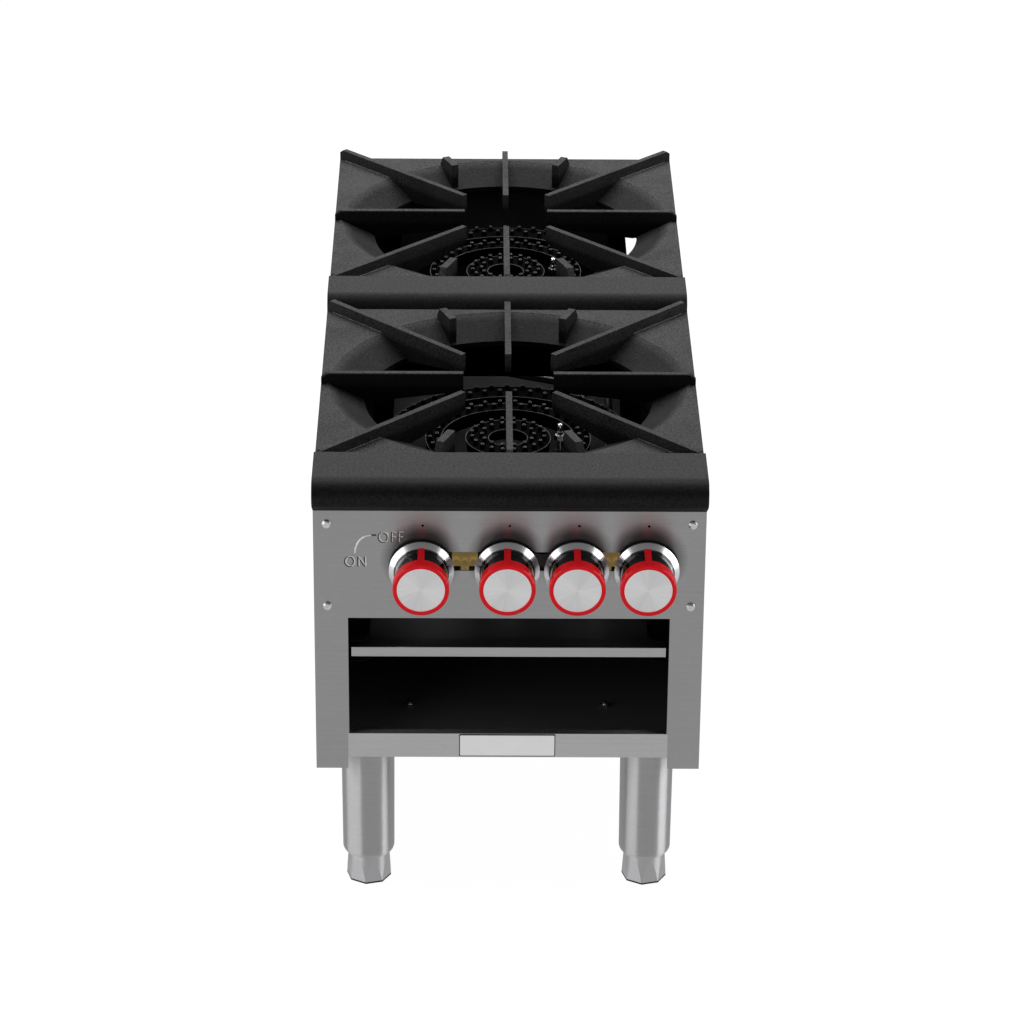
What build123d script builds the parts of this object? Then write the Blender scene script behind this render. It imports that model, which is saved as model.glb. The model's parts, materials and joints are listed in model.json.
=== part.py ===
"""Two-burner stock pot range, front burner and rear burner on one narrow cabinet.

All lengths are millimetres. While the range is being built its control panel's face lies
in the plane y = 0, +Y points to the back, +X to the right and z = 0 is the floor. The last
step moves everything along Y, so that the finished range stands with its origin at the
middle of its footprint on the floor.
"""
import os
from math import acos, atan2, cos, degrees, hypot, pi, sin

from build123d import *

# ---------------------------------------------------------------- driving dimensions
# Cabinet
body_width = 457.0            # over the two side panels
knob_height = 451.0           # axis of the knobs above the floor
panel_over_knobs = 75.0       # top edge of the control panel above that axis
panel_under_knobs = 65.0      # its lower edge below that axis
stile_bottom = 183.5          # lower ends of the front stiles and of the side panels
floor_under = 205.0           # underside of the cabinet floor
sheet = 1.5                   # stainless sheet
side_flange = 26.0            # flanges turned in at the front and back of a side panel
side_foot_flange = 14.0       # flange turned in along the lower edge of a side panel

# Opening under the control panel
stile_width = 38.0
rail_drop = 7.0               # the rail below the opening reaches below the cabinet floor
rail_height = 32.0
rail_return = 10.0
opening_return = 10.0         # edges of the opening, turned back
panel_top_flange = 18.0
floor_upstand = 20.0

# Slot and small holes of the control panel; an inset along X is counted from the outside
# of the right side panel
slot_left_inset, slot_right_inset = 343.5, 52.5
slot_below, slot_above = 2.5, 22.0   # below and above the axis of the knobs
slot_corner = 3.0
stem_clearance_radius = 10.0
pilot_hole_radius = 1.6
pilot_hole_insets = (329.5, 228.5, 147.5, 66.5)
pilot_hole_rise = 56.0        # above the axis of the knobs
panel_screw_inset = 15.6
panel_screw_over_opening = 16.0
panel_screw_below_top = 17.0
panel_screw_radius = 2.5
panel_screw_head_radius = 5.4
panel_screw_head = 3.0
panel_screw_length = 12.0
screw_hole_play = 0.3

# Black top: ledges, rims and what carries them
ledge_sheet = 2.0
ledge_rise = 49.4             # ledge and grate ribs above the control panel
nose_radius = 17.0
nose_reach = 36.0             # rolled nose in front of the control panel
front_ledge_back = 54.8
mid_ledge_depth = 69.6
rim_flange = 6.5              # narrow: the bowls of the grates hang between the rims
rim_leg = 42.0

# Grates
grate_side_play = 0.5         # between a grate's side and the outside of the side panel
grate_depth = 451.0
grate_play = 1.6              # between a grate and the ledge in front of it
grate_nose_play = 5.6         # between the front grate and the nose of the middle ledge
grate_back_play = 0.8         # between the rear grate and the outside of the back panel
grate_corner = 3.0
rib_over_plate = 14.0
plate_thickness = 7.0
bowl_edge = 7.5               # between the bowl and the grate's nearer edges
bowl_reach = 43.0             # from the bowl's edge in to its hole
bowl_drop = 21.0
bowl_wall = 6.5
rib_thickness = 7.5
rib_inner = 55.0              # the ribs stop at a square of this half width
rib_inner_height = 23.5
rib_deepest = 38.0
rib_end_bevel = 9.0
rib_end_drop = 7.0
finger_angle = 67.5           # short fingers beside the front and back ribs
finger_from_hole = 4.0
finger_from_edge = 5.0        # between a finger's top and the edge of the bowl
finger_width = 9.5
finger_slope = 9.0

# Burners
burner_drop = 87.4            # flat tops of the rings below the tops of the ribs
ring_height = 18.0
inner_ring_height = 14.0      # the inner ring stands on tabs between the other rings' feet
inner_ring = (24.0, 52.0)     # inner and outer radius
middle_ring = (82.0, 101.0)
outer_ring = (121.0, 152.0)
ring_draft = 1.5
port_height = 6.5
port_radius = 4.1
port_top_radius = 2.6
port_sink = 0.6
inner_port_rows, inner_port_counts = (32.0, 44.5), (14, 20)
middle_port_rows, middle_port_counts = (87.0, 96.0), (32, 32)
outer_port_rows, outer_port_counts = (128.5, 143.5), (42, 46)
arm_width = 16.0
arm_height = 12.0
arm_raise = 2.0               # undersides of the arms above the undersides of the rings
arm_overlap = 6.0             # of an arm into a ring
seat_angles = (90.0, 225.0, 315.0)   # three tabs of the middle ring carry the inner ring
seat_width = 14.0
mixer_offset = 40.0           # mixers stand left and right of the middle
mixer_drop = 45.0             # axis of the mixers below the tops of the rings
mixer_radius = 19.0
mixer_wall = 4.0
mixer_throat = 15.0
bell_radius = 27.0
bell_length = 22.0
lug_x, lug_y = 155.0, 45.0
lug_size = 20.0
lug_over = 6.0                # of a lug above the underside of the rings
lug_drop = 14.0               # of a lug below the underside of the rings
neck_radius = 12.0
neck_overlap = 2.0            # of a neck into its ring
shutter_thickness = 2.0
shutter_slot_edge = 4.5       # between a slot and the inner and outer edge of a shutter

# Burner rails, baffle and crossmember
burner_rail_x = 143.0         # inner edge of a burner rail
burner_rail_flange = 25.0
burner_rail_sheet = 3.0
baffle_front = 104.0          # front face of the baffle behind the valves
baffle_below_rims = 24.4
baffle_hem = 10.0
baffle_window_half = 78.0
baffle_window_rise = 35.0     # above the axis of the mixers
crossmember_inset = 23.0      # behind the front of the middle ledge
crossmember_depth = 30.0

# Gas
manifold_radius = 13.35       # 3/4 inch pipe
pipe_wall = 2.9
manifold_y = 62.0
manifold_drop = 43.0          # below the axis of the knobs
manifold_left_inset = 378.5
elbow_centre = 14.0           # from the elbow's corner to the ends of its pipes
elbow_socket = 10.5
elbow_radius = 17.5
bracket_insets = (358.5, 192.5)
bracket_width = 20.0
bracket_thickness = 3.0
bracket_tab = 24.0
supply_inset = 32.5
inlet_reach = 38.0            # inlet behind the back panel
inlet_thread = 20.0           # length of the threaded end
inlet_thread_radius = 13.1
inlet_hole_left, inlet_hole_right = 36.0, 20.0   # its cut-out, beside the pipe's axis
inlet_hole_below, inlet_hole_above = 28.0, 44.0
inlet_hole_corner = 8.0
knob_insets = (331.1, 231.1, 150.1, 68.2)
valve_radius = 13.0
valve_front, valve_back = 13.0, 66.0
valve_nut_radius = 11.0
valve_nut = 7.0
valve_inlet_radius = 9.0
valve_inlet_y = 54.0
valve_cone = 8.0
stem_radius = 4.0
stem_play = 0.05
stem_in_valve = 24.0
stem_end_play = 0.5
outlet_hex_radius = 7.3
outlet_length = 9.0
feed_radius = 4.75
feed_drop = 27.0              # of the rear burner's tubes below the axis of the mixers
feed_drop_y = 89.5
feed_lead = 20.4              # from there back to the mouths of the front mixers
feed_run_insets = (128.5, 96.5)
feed_turn_gap = 22.0
feed_bend = 9.0
hood_length = 11.0            # in front of the mixer's mouth
hood_nose = 5.0
hood_radius = 7.5
hood_hex_radius = 8.6
jet_radius = 0.9
pilot_valve_insets = (280.5, 112.5)
pilot_valve_size = (30.0, 15.0, 14.0)
pilot_valve_chamfer = 2.0
pilot_valve_plugs = ((-10.0, 4.2), (0.0, 3.2), (10.0, 4.2))   # place beside the middle, radius
pilot_plug_length = 4.0
pilot_valve_rise = 31.0       # above the axis of the manifold
pilot_valve_y = 52.0
pilot_inlet_radius = 5.0
pilot_outlet_radius = 5.2
pilot_outlet_length = 5.0
pilot_tube_radius = 3.2
pilot_tube_bend = 5.0
pilot_tube_drop_y = 79.5
pilot_tube_jog = 60.0         # the rear tube moves sideways this far in front of its pilot
pilot_tube_drop = 44.0        # its long run below the axis of the mixers
pilot_tube_x = (64.0, 75.0)
pilot_x = 64.0
pilot_y = 3.0                 # pilots stand this far behind the middle of the burner
pilot_body_radius = 3.9
pilot_hex_radius = 6.9
pilot_hex_height = 6.0
pilot_hex_drop = 15.5         # top of its nut below its tip
pilot_head = 8.0              # its slotted head above the groove
pilot_groove = 1.2
pilot_groove_height = 3.0
pilot_dome = 2.5
pilot_slot_half = 0.7
pilot_bracket_size = (14.0, 2.0)     # width and thickness
pilot_tip_drop = 68.9         # its tip below the tops of the ribs

# Knobs
knob_gap = 5.0                # between panel and skirt
knob_front = 56.0             # face of the knob in front of the panel
skirt_radius = 38.0
skirt_inner_radius = 31.8
skirt_depth = 8.0
skirt_lip = 2.0
knob_radius = 31.0
knob_wall = 2.5
knob_hub_radius = 9.0
knob_ring_radius = 32.8
knob_ring_depth = 14.0
knob_face_radius = 27.8
knob_face_thickness = 1.6
knob_face_recess = 0.8
pointer_width = 7.7
stem_in_knob = 22.0

# Tray and its runners
runner_drop = 32.0            # top of the runners below the top of the opening
runner_height = 28.0
runner_flange = 17.0
runner_lip = 6.0
runner_lip_rise = 4.5
runner_front = 4.0
runner_hanger_width = 30.0
runner_hanger_tab = 25.0
tray_front = 5.0
tray_length = 1000.0
tray_height = 12.0
tray_half_play = 2.0          # between a tray side and the web of its runner
tray_lift = 0.3               # tray bottom above the lips
tray_lip_depth = 22.0

# Legs
leg_side_inset = 59.8         # axis of a leg inside the outside of the side panel
leg_inset = 62.0              # from the panel face, and from the back
leg_plate = 116.0
leg_plate_thickness = 3.0
leg_plate_corner = 8.0
leg_bolt_spacing = 100.0
leg_bolt_radius = 3.0
leg_bolt_head_radius = 5.0
leg_bolt_head = 4.0
leg_bolt_tip = 3.0            # of a bolt above its nut
leg_top_radius = 32.2
leg_bottom_radius = 31.3
leg_bottom = 35.0             # lower end of the barrel
leg_shoulder = 9.0
leg_wall = 3.0
leg_plug = 22.0               # solid lower end, bored for the stud of the foot
foot_corner_radius = 27.3     # octagon, over its corners
foot_collar_radius = 25.0     # the corners are turned away towards the top
foot_turn = -7.0              # the octagon's corners stand this far round, in degrees
foot_stud_radius = 8.0
foot_stud_length = 55.0
foot_stud_play = 0.05

# ---------------------------------------------------------------- worked-out places
half = body_width / 2
panel_top = knob_height + panel_over_knobs
opening_top = knob_height - panel_under_knobs
opening_half = half - stile_width
rail_bottom = floor_under - rail_drop
rail_top = rail_bottom + rail_height
panel_screw_x = half - panel_screw_inset
panel_screw_heights = (opening_top + panel_screw_over_opening, panel_top - panel_screw_below_top)
mid_ledge_front = front_ledge_back + grate_play + grate_depth + grate_nose_play
mid_ledge_back = mid_ledge_front + mid_ledge_depth
body_depth = mid_ledge_back + grate_play + grate_depth + grate_back_play
crossmember_front = mid_ledge_front + crossmember_inset
ledge_top = panel_top + ledge_rise
grate_width = body_width - 2 * grate_side_play
bowl_radius = min(grate_width, grate_depth) / 2 - bowl_edge
bowl_hole_radius = bowl_radius - bowl_reach
finger_inner, finger_outer = bowl_hole_radius + finger_from_hole, bowl_radius - finger_from_edge
grate_top = ledge_top
plate_top = grate_top - rib_over_plate
rim_top = plate_top - plate_thickness
inner_half = half - sheet
back_inner = body_depth - sheet
baffle_top = rim_top - baffle_below_rims
front_grate_y = front_ledge_back + grate_play + grate_depth / 2
mixer_reach = front_grate_y - feed_drop_y - feed_lead     # mouths in front of a burner's middle
rear_grate_y = mid_ledge_back + grate_play + grate_depth / 2
burner_ys = (front_grate_y, rear_grate_y)
burner_top = grate_top - burner_drop
ring_under = burner_top - ring_height
mixer_height = burner_top - mixer_drop
baffle_window_top = mixer_height + baffle_window_rise
burner_rail_top = ring_under - lug_drop
pilot_seat = ring_under       # on its bracket, level with the rings' undersides
pilot_top = grate_top - pilot_tip_drop
runner_web_outer = opening_half - sheet
runner_web_inner = runner_web_outer - sheet
tray_half = runner_web_inner - tray_half_play
runner_top = opening_top - runner_drop
runner_bottom = runner_top - runner_height
tray_bottom = runner_bottom + sheet + runner_lip_rise + tray_lift
manifold_z = knob_height - manifold_drop
supply_x = half - supply_inset
inlet_hole = (supply_x - inlet_hole_left, supply_x + inlet_hole_right,
              manifold_z - inlet_hole_below, manifold_z + inlet_hole_above)
feed_level = mixer_height - feed_drop
pilot_valve_z = manifold_z + pilot_valve_rise
pilot_tube_level = mixer_height - pilot_tube_drop
knob_x = tuple(half - inset for inset in knob_insets)
pilot_hole_x = tuple(half - inset for inset in pilot_hole_insets)
pilot_valve_x = tuple(half - inset for inset in pilot_valve_insets)
feed_run_x = tuple(half - inset for inset in feed_run_insets)
bracket_x = tuple(half - inset for inset in bracket_insets)
manifold_left = half - manifold_left_inset
leg_x = half - leg_side_inset
origin_y = (body_depth + inlet_reach - knob_front) / 2

os.makedirs("parts", exist_ok=True)


# ---------------------------------------------------------------- small helpers
def block(x0, x1, y0, y1, z0, z1):
    """A box between two corners."""
    return Pos((x0 + x1) / 2, (y0 + y1) / 2, (z0 + z1) / 2) * Box(x1 - x0, y1 - y0, z1 - z0)


def rod(start, end, radius):
    """A round bar between two points."""
    a, b = Vector(*start), Vector(*end)
    way = b - a
    return Plane(origin=a, z_dir=way) * Cylinder(
        radius, way.length, align=(Align.CENTER, Align.CENTER, Align.MIN))


def turned(points):
    """A turned piece on the vertical axis: points are (radius, height)."""
    profile = make_face(Plane.XZ * Polyline(*points, close=True))
    return revolve(profile, Axis.Z)


def turned_along_y(points, x, z):
    """A turned piece on an axis parallel to Y: points are (radius, y)."""
    piece = turned([(r, -y) for r, y in points])
    return Pos(x, 0, z) * (Rot(90, 0, 0) * piece)


def across(points, x0, x1):
    """A profile of (y, z) points drawn out along X."""
    face = make_face(Plane.YZ * Polyline(*points, close=True))
    return Pos(x0, 0, 0) * extrude(face, amount=x1 - x0, dir=(1, 0, 0))


def lengthwise(points, y0, y1):
    """A profile of (x, z) points drawn out along Y."""
    face = make_face(Plane.XZ * Polyline(*points, close=True))
    return Pos(0, y0, 0) * extrude(face, amount=y1 - y0, dir=(0, 1, 0))


def folded(path, thickness):
    """The outline of a sheet of one thickness that follows an open path, to its left."""
    other = []
    for i, (u, v) in enumerate(path):
        before = path[max(i - 1, 0)]
        after = path[min(i + 1, len(path) - 1)]
        ways = []
        for p, q in ((before, (u, v)), ((u, v), after)):
            length = hypot(q[0] - p[0], q[1] - p[1])
            if length > 0:
                ways.append(((q[0] - p[0]) / length, (q[1] - p[1]) / length))
        first, last = ways[0], ways[-1]
        normal = (-(first[1] + last[1]), first[0] + last[0])
        scale = thickness * 2 / (normal[0] ** 2 + normal[1] ** 2)
        other.append((u + normal[0] * scale, v + normal[1] * scale))
    return list(path) + other[::-1]


def mirrored_x(piece):
    return mirror(piece, about=Plane.YZ)


def tube(points, bend, radius):
    """A bent tube through points, with one radius at every bend."""
    path = FilletPolyline(*points, radius=bend)
    start = Plane(origin=path @ 0, z_dir=path % 0)
    return sweep(start * Circle(radius), path=path)


def hexagon_bar(radius, length):
    """An upright hexagonal bar, radius over its corners."""
    return extrude(RegularPolygon(radius, 6), amount=length)


def hexagon_to_back(radius, start, length):
    """A hexagonal bar along Y, from a point to the back."""
    return Pos(*start) * (Rot(-90, 0, 0) * hexagon_bar(radius, length))


def group(*pieces):
    """Several separate pieces in one node."""
    return Compound(children=[solid for piece in pieces for solid in piece.solids()])


nodes = {}


def keep(name, piece):
    """Store a finished piece under its name, standing on the range's origin."""
    nodes[name] = Pos(0, -origin_y, 0) * piece


# ---------------------------------------------------------------- cabinet
def side_panel():
    """Right side panel: one sheet, with flanges turned in at its front, back and foot."""
    front = sheet
    skin = block(inner_half, half, front, back_inner, stile_bottom, panel_top)
    low, high = stile_bottom, panel_top
    front_flange = block(half - side_flange, half, front, front + sheet, low, high)
    back_flange = block(half - side_flange, half, back_inner - sheet, back_inner,
                        low, rim_top - rim_leg)
    foot = block(half - side_foot_flange, half, front, back_inner, low, low + sheet)
    x0, x1, z0, z1 = inlet_hole
    back_flange -= block(x0, x1, back_inner - 2 * sheet, back_inner + sheet, z0, z1)
    panel = skin + front_flange + back_flange + foot
    for height in panel_screw_heights:
        panel -= rod((panel_screw_x, 0, height), (panel_screw_x, 4 * sheet, height),
                     panel_screw_radius + screw_hole_play)
    return panel


def control_panel():
    """Front panel: an upside-down U with the valve slot, small holes and turned edges."""
    panel = block(-half, half, 0, sheet, stile_bottom, panel_top)
    panel -= block(-opening_half, opening_half, -1, sheet + 1, stile_bottom - 1, opening_top)
    between = half - side_flange
    panel += block(-between, between, 0, panel_top_flange, panel_top - sheet, panel_top)
    panel += block(-opening_half, opening_half, 0, opening_return, opening_top, opening_top + sheet)
    for side in (-1, 1):
        edge = sorted((side * opening_half, side * (opening_half - sheet)))
        panel += block(*edge, 0, opening_return, rail_top, opening_top)
    slot_middle = (half - (slot_left_inset + slot_right_inset) / 2,
                   knob_height + (slot_above - slot_below) / 2)
    slot = Rectangle(slot_left_inset - slot_right_inset, slot_above + slot_below)
    slot = fillet(slot.vertices(), slot_corner)
    cut = extrude(Plane.XZ * (Pos(*slot_middle) * slot), amount=4 * sheet, both=True)
    panel -= cut
    for x in knob_x:
        panel -= rod((x, -1, knob_height), (x, 4 * sheet, knob_height), stem_clearance_radius)
    height = knob_height + pilot_hole_rise
    for x in pilot_hole_x:
        panel -= rod((x, -1, height), (x, 4 * sheet, height), pilot_hole_radius)
    for x in (-panel_screw_x, panel_screw_x):
        for height in panel_screw_heights:
            panel -= rod((x, -1, height), (x, 4 * sheet, height),
                         panel_screw_radius + screw_hole_play)
    return panel


def cabinet_floor():
    """Floor pan with the rail below the opening, which reaches a little below the pan."""
    front, top = sheet, floor_under + sheet
    pan = block(-inner_half, inner_half, front + sheet, back_inner - sheet, floor_under, top)
    pan += block(-opening_half, opening_half, front, front + sheet, rail_bottom, rail_top)
    pan += block(-opening_half, opening_half, front, front + rail_return,
                 rail_top - sheet, rail_top)
    for side in (-1, 1):
        skin = sorted((side * inner_half, side * (inner_half - sheet)))
        pan += block(*skin, side_flange, back_inner - side_flange,
                     floor_under, floor_under + floor_upstand)
    between = inner_half - side_flange
    pan += block(-between, between, back_inner - sheet, back_inner,
                 floor_under, floor_under + floor_upstand)
    for x, y in leg_bolt_places():
        pan -= rod((x, y, floor_under - 1), (x, y, top + 1), leg_bolt_radius + screw_hole_play)
    return pan


def back_panel():
    """Back panel with a vent window above the tray and the cut-out for the gas inlet."""
    panel = block(-half, half, back_inner, body_depth, stile_bottom, panel_top)
    x0, x1, z0, z1 = inlet_hole
    window = fillet(Rectangle(x1 - x0, z1 - z0).vertices(), inlet_hole_corner)
    window = Pos((x0 + x1) / 2, (z0 + z1) / 2) * window
    panel -= extrude(Plane.XZ * window, amount=2 * body_depth, both=True)
    return panel


# ---------------------------------------------------------------- black top
def ledge(front, back, foot, low_z):
    """A folded ledge: flat top, rolled nose, front wall down to its foot, closed ends.

    front and back are its reach along Y, and the front wall ends at (foot, low_z).
    """
    cy, cz = front + nose_radius, ledge_top - nose_radius
    away = hypot(foot - cy, low_z - cz)
    touch_angle = (atan2(low_z - cz, foot - cy) - acos(nose_radius / away)) % (2 * pi)
    middle_angle = (pi / 2 + touch_angle) / 2

    def on_nose(angle):
        return cy + nose_radius * cos(angle), cz + nose_radius * sin(angle)

    touch = on_nose(touch_angle)
    run = 3 * ledge_sheet / max(touch[1] - low_z, ledge_sheet)
    below = (foot + (foot - touch[0]) * run, low_z + (low_z - touch[1]) * run)
    outline = make_face([
        Line((back, ledge_top), (cy, ledge_top)),
        ThreePointArc((cy, ledge_top), on_nose(middle_angle), touch),
        Line(touch, below), Line(below, (back, below[1])),
        Line((back, below[1]), (back, ledge_top))])
    inside = offset(outline, -ledge_sheet, kind=Kind.INTERSECTION)
    shell = Pos(-half, 0, 0) * extrude(Plane.YZ * outline, amount=body_width, dir=(1, 0, 0))
    shell -= Pos(-half + ledge_sheet, 0, 0) * extrude(
        Plane.YZ * inside, amount=body_width - 2 * ledge_sheet, dir=(1, 0, 0))
    return shell - block(-half - 1, half + 1, front - 1, back + 1, below[1] - 1, low_z)


def side_rim():
    """Right rim: an angle that stands inside the side panel and carries the grates."""
    leg_out = inner_half
    path = [(leg_out, rim_top - rim_leg), (leg_out, rim_top), (leg_out - rim_flange, rim_top)]
    return lengthwise(folded(path, ledge_sheet), front_ledge_back, back_inner)


def rear_rim():
    """The angle across the back, between the side rims."""
    reach = inner_half - rim_flange
    path = [(back_inner - rim_flange, rim_top), (back_inner, rim_top),
            (back_inner, rim_top - rim_leg)]
    rim = across(folded(path[::-1], ledge_sheet), -reach, reach)
    inner = inner_half - ledge_sheet
    return rim + block(-inner, inner, back_inner - ledge_sheet, back_inner,
                       rim_top - rim_leg, rim_top - ledge_sheet)


def crossmember():
    """Channel under the middle ledge, from side to side, over the burner rails."""
    front, back = crossmember_front, crossmember_front + crossmember_depth
    wide = inner_half - ledge_sheet
    narrow = inner_half - rim_flange
    high, low = rim_top - ledge_sheet, burner_rail_top
    web = block(-wide, wide, front, front + ledge_sheet, low, high)
    web += block(-narrow, narrow, front, front + ledge_sheet, low, rim_top)
    web += block(-narrow, narrow, front, back, high, rim_top)
    web += block(-wide, wide, front, back, low, low + ledge_sheet)
    return web


def baffle():
    """Heat baffle between the valves and the burners, open for the front mixers."""
    low = burner_rail_top - burner_rail_flange
    back = baffle_front + sheet
    between = inner_half - ledge_sheet
    plate = block(-inner_half, inner_half, baffle_front, back, low, rim_top - rim_leg)
    plate += block(-between, between, baffle_front, back, low, baffle_top)
    plate -= block(-baffle_window_half, baffle_window_half, baffle_front - 1, back + 1,
                   low - 1, baffle_window_top)
    plate += block(-baffle_window_half, baffle_window_half, baffle_front, back + baffle_hem,
                   baffle_window_top, baffle_window_top + sheet)
    return plate


def burner_rail():
    """Right burner rail: an angle on which the lugs of both burners stand."""
    inner = burner_rail_x
    path = [(inner, burner_rail_top), (inner + burner_rail_flange, burner_rail_top),
            (inner + burner_rail_flange, burner_rail_top - burner_rail_flange)]
    return lengthwise(folded(path[::-1], burner_rail_sheet), baffle_front + sheet, back_inner)


# ---------------------------------------------------------------- grates
def cone_level(radius):
    """Height of the bowl's upper face at a radius."""
    share = (bowl_radius - radius) / (bowl_radius - bowl_hole_radius)
    return plate_top - bowl_drop * share


def rib(inner, outer):
    """One upright rib along +X, from its inner end to the edge of the grate."""
    top, hole = grate_top, bowl_hole_radius
    under = (plate_top + rim_top) / 2
    outline = [(inner, top), (outer - rib_end_bevel, top), (outer, top - rib_end_drop),
               (outer, under), (bowl_radius, under),
               (hole + 2, cone_level(hole + 2) - bowl_wall / 2),
               (hole - 6, top - rib_deepest), (inner, top - rib_inner_height)]
    face = make_face(Plane.XZ * Polyline(*outline, close=True))
    return extrude(face, amount=rib_thickness / 2, both=True)


def finger():
    """A short finger on the bowl along +X, its outer end sloping down."""
    top = grate_top
    outline = [(finger_inner, top), (finger_outer, top),
               (finger_outer + finger_slope, plate_top), (bowl_radius, plate_top - 3),
               (finger_inner, cone_level(finger_inner) - bowl_wall / 2)]
    face = make_face(Plane.XZ * Polyline(*outline, close=True))
    return extrude(face, amount=finger_width / 2, both=True)


def grate(centre_y):
    """Cast grate: square plate, conical bowl, eight ribs and four short fingers."""
    plate = block(-grate_width / 2, grate_width / 2, -grate_depth / 2, grate_depth / 2,
                  rim_top, plate_top)
    plate = fillet(plate.edges().filter_by(Axis.Z), grate_corner)
    plate -= rod((0, 0, rim_top - 1), (0, 0, plate_top + 1), bowl_radius - 0.5)
    hole_level = plate_top - bowl_drop
    bowl = turned([(bowl_radius, plate_top), (bowl_radius, rim_top),
                   (bowl_hole_radius, hole_level - bowl_wall), (bowl_hole_radius, hole_level)])
    ribs = []
    for step in range(8):
        diagonal = step % 2
        inner = rib_inner * (2 ** 0.5 if diagonal else 1)
        outer = grate_width / 2 * (2 ** 0.5 if diagonal else 1)
        ribs.append(Rot(0, 0, 45 * step) * rib(inner, outer))
    for angle in (finger_angle, 180 - finger_angle, 180 + finger_angle, -finger_angle):
        ribs.append(Rot(0, 0, angle) * finger())
    whole = plate.fuse(bowl, *ribs)
    whole &= block(-grate_width / 2, grate_width / 2, -grate_depth / 2, grate_depth / 2,
                   grate_top - 2 * rib_deepest, grate_top + 1)
    return Pos(0, centre_y, 0) * whole


# ---------------------------------------------------------------- burners
def port(radius, height, angle, level):
    """One raised burner port: a small six-sided frustum."""
    lean = degrees(atan2(port_radius - port_top_radius, height))
    stub = extrude(RegularPolygon(port_radius, 6), amount=height + port_sink, taper=lean)
    place = Pos(radius * cos(angle), radius * sin(angle), level - port_sink)
    return place * Rot(0, 0, degrees(angle)) * stub


def ring_casting(radii, height, rows, counts):
    """A burner ring with its rows of raised ports, every second row staggered."""
    inner, outer = radii
    low = burner_top - height
    body = turned([(inner + ring_draft, low), (outer - ring_draft, low), (outer, burner_top),
                   (inner, burner_top)])
    ports = []
    for row, (radius, count) in enumerate(zip(rows, counts)):
        for i in range(count):
            angle = 2 * pi * (i + 0.5 * (row % 2)) / count
            ports.append(port(radius, port_height, angle, burner_top))
    return body.fuse(*ports)


def mixer(x, mouth, back):
    """A mixer tube from its bell mouth back to a closed end, hollow, along Y."""
    r, w = mixer_radius, mixer_wall
    outer = turned_along_y([(0, mouth), (bell_radius, mouth), (bell_radius, mouth + w),
                            (r, mouth + bell_length), (r, back), (0, back)], x, mixer_height)
    bore = turned_along_y([(0, mouth - 1), (bell_radius - w, mouth - 1),
                           (bell_radius - w, mouth + w),
                           (mixer_throat, mouth + bell_length), (mixer_throat, back - w),
                           (0, back - w)], x, mixer_height)
    return outer, bore


def inner_burner(centre_y):
    """Inner burner casting: the small ring on its neck, with its mixer to the front."""
    ring = ring_casting(inner_ring, inner_ring_height, inner_port_rows, inner_port_counts)
    outer, bore = mixer(-mixer_offset, -mixer_reach, neck_radius)
    neck_x = -(inner_ring[0] + inner_ring[1]) / 2
    foot_level = burner_top - inner_ring_height
    neck = rod((neck_x, 0, mixer_height), (neck_x, 0, foot_level + neck_overlap), neck_radius)
    casting = ring + neck + outer - bore
    return Pos(0, centre_y, 0) * casting


def outer_burner(centre_y):
    """Outer burner casting: two rings, four arms, lugs, and its mixer to the front."""
    low = ring_under
    middle = ring_casting(middle_ring, ring_height, middle_port_rows, middle_port_counts)
    outer = ring_casting(outer_ring, ring_height, outer_port_rows, outer_port_counts)
    arms = []
    for quarter in range(4):
        arm = block(middle_ring[1] - arm_overlap, outer_ring[0] + arm_overlap,
                    -arm_width / 2, arm_width / 2, low + arm_raise, low + arm_height)
        arms.append(Rot(0, 0, 45 + 90 * quarter) * arm)
    for angle in seat_angles:
        tab = block((inner_ring[0] + inner_ring[1]) / 2, middle_ring[0] + ring_draft * 2,
                    -seat_width / 2, seat_width / 2, low, burner_top - inner_ring_height)
        arms.append(Rot(0, 0, angle) * tab)
    size = lug_size / 2
    for x in (-lug_x, lug_x):
        for y in (-lug_y, lug_y):
            arms.append(block(x - size, x + size, y - size, y + size,
                              burner_rail_top, low + lug_over))
    casting = middle.fuse(outer, *arms)
    radius = (middle_ring[0] + middle_ring[1]) / 2
    back = -(radius ** 2 - mixer_offset ** 2) ** 0.5
    tube_out, bore = mixer(mixer_offset, -mixer_reach, back + neck_radius)
    neck = rod((mixer_offset, back, mixer_height), (mixer_offset, back, low + neck_overlap),
               (middle_ring[1] - middle_ring[0]) / 2 - ring_draft)
    casting = casting + neck + tube_out - bore
    return Pos(0, centre_y, 0) * casting


def air_shutter(x, mouth):
    """Air shutter: a slotted disc in front of a mixer's mouth, on the orifice hood."""
    front = mouth - shutter_thickness
    disc = turned_along_y([(hood_radius, front), (bell_radius, front),
                           (bell_radius, mouth), (hood_radius, mouth)], x, mixer_height)
    inner, outer = hood_radius + shutter_slot_edge, bell_radius - shutter_slot_edge
    for turn in (0, 180):
        slot = Circle(outer) - Circle(inner)
        slot &= make_face(Polyline((0, 0), (2 * outer, outer), (2 * outer, -outer), close=True))
        cut = extrude(Plane.XZ * (Rot(0, 0, turn) * slot), amount=4 * shutter_thickness, both=True)
        disc -= Pos(x, mouth, mixer_height) * cut
    return disc


def orifice_hood(x, mouth):
    """Brass orifice hood: a hexagon with a small nose that looks into the mixer."""
    front, tip = mouth - hood_length, mouth + hood_nose
    hexagon = hexagon_to_back(hood_hex_radius, (x, front, mixer_height),
                              hood_length - shutter_thickness)
    nose = turned_along_y([(0, front + 1), (hood_radius, front + 1), (hood_radius, mouth),
                           (jet_radius * 4, tip), (0, tip)], x, mixer_height)
    bore = rod((x, front - 1, mixer_height), (x, mouth, mixer_height), feed_radius)
    jet = rod((x, front, mixer_height), (x, tip + 1, mixer_height), jet_radius)
    return hexagon + nose - bore - jet


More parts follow.
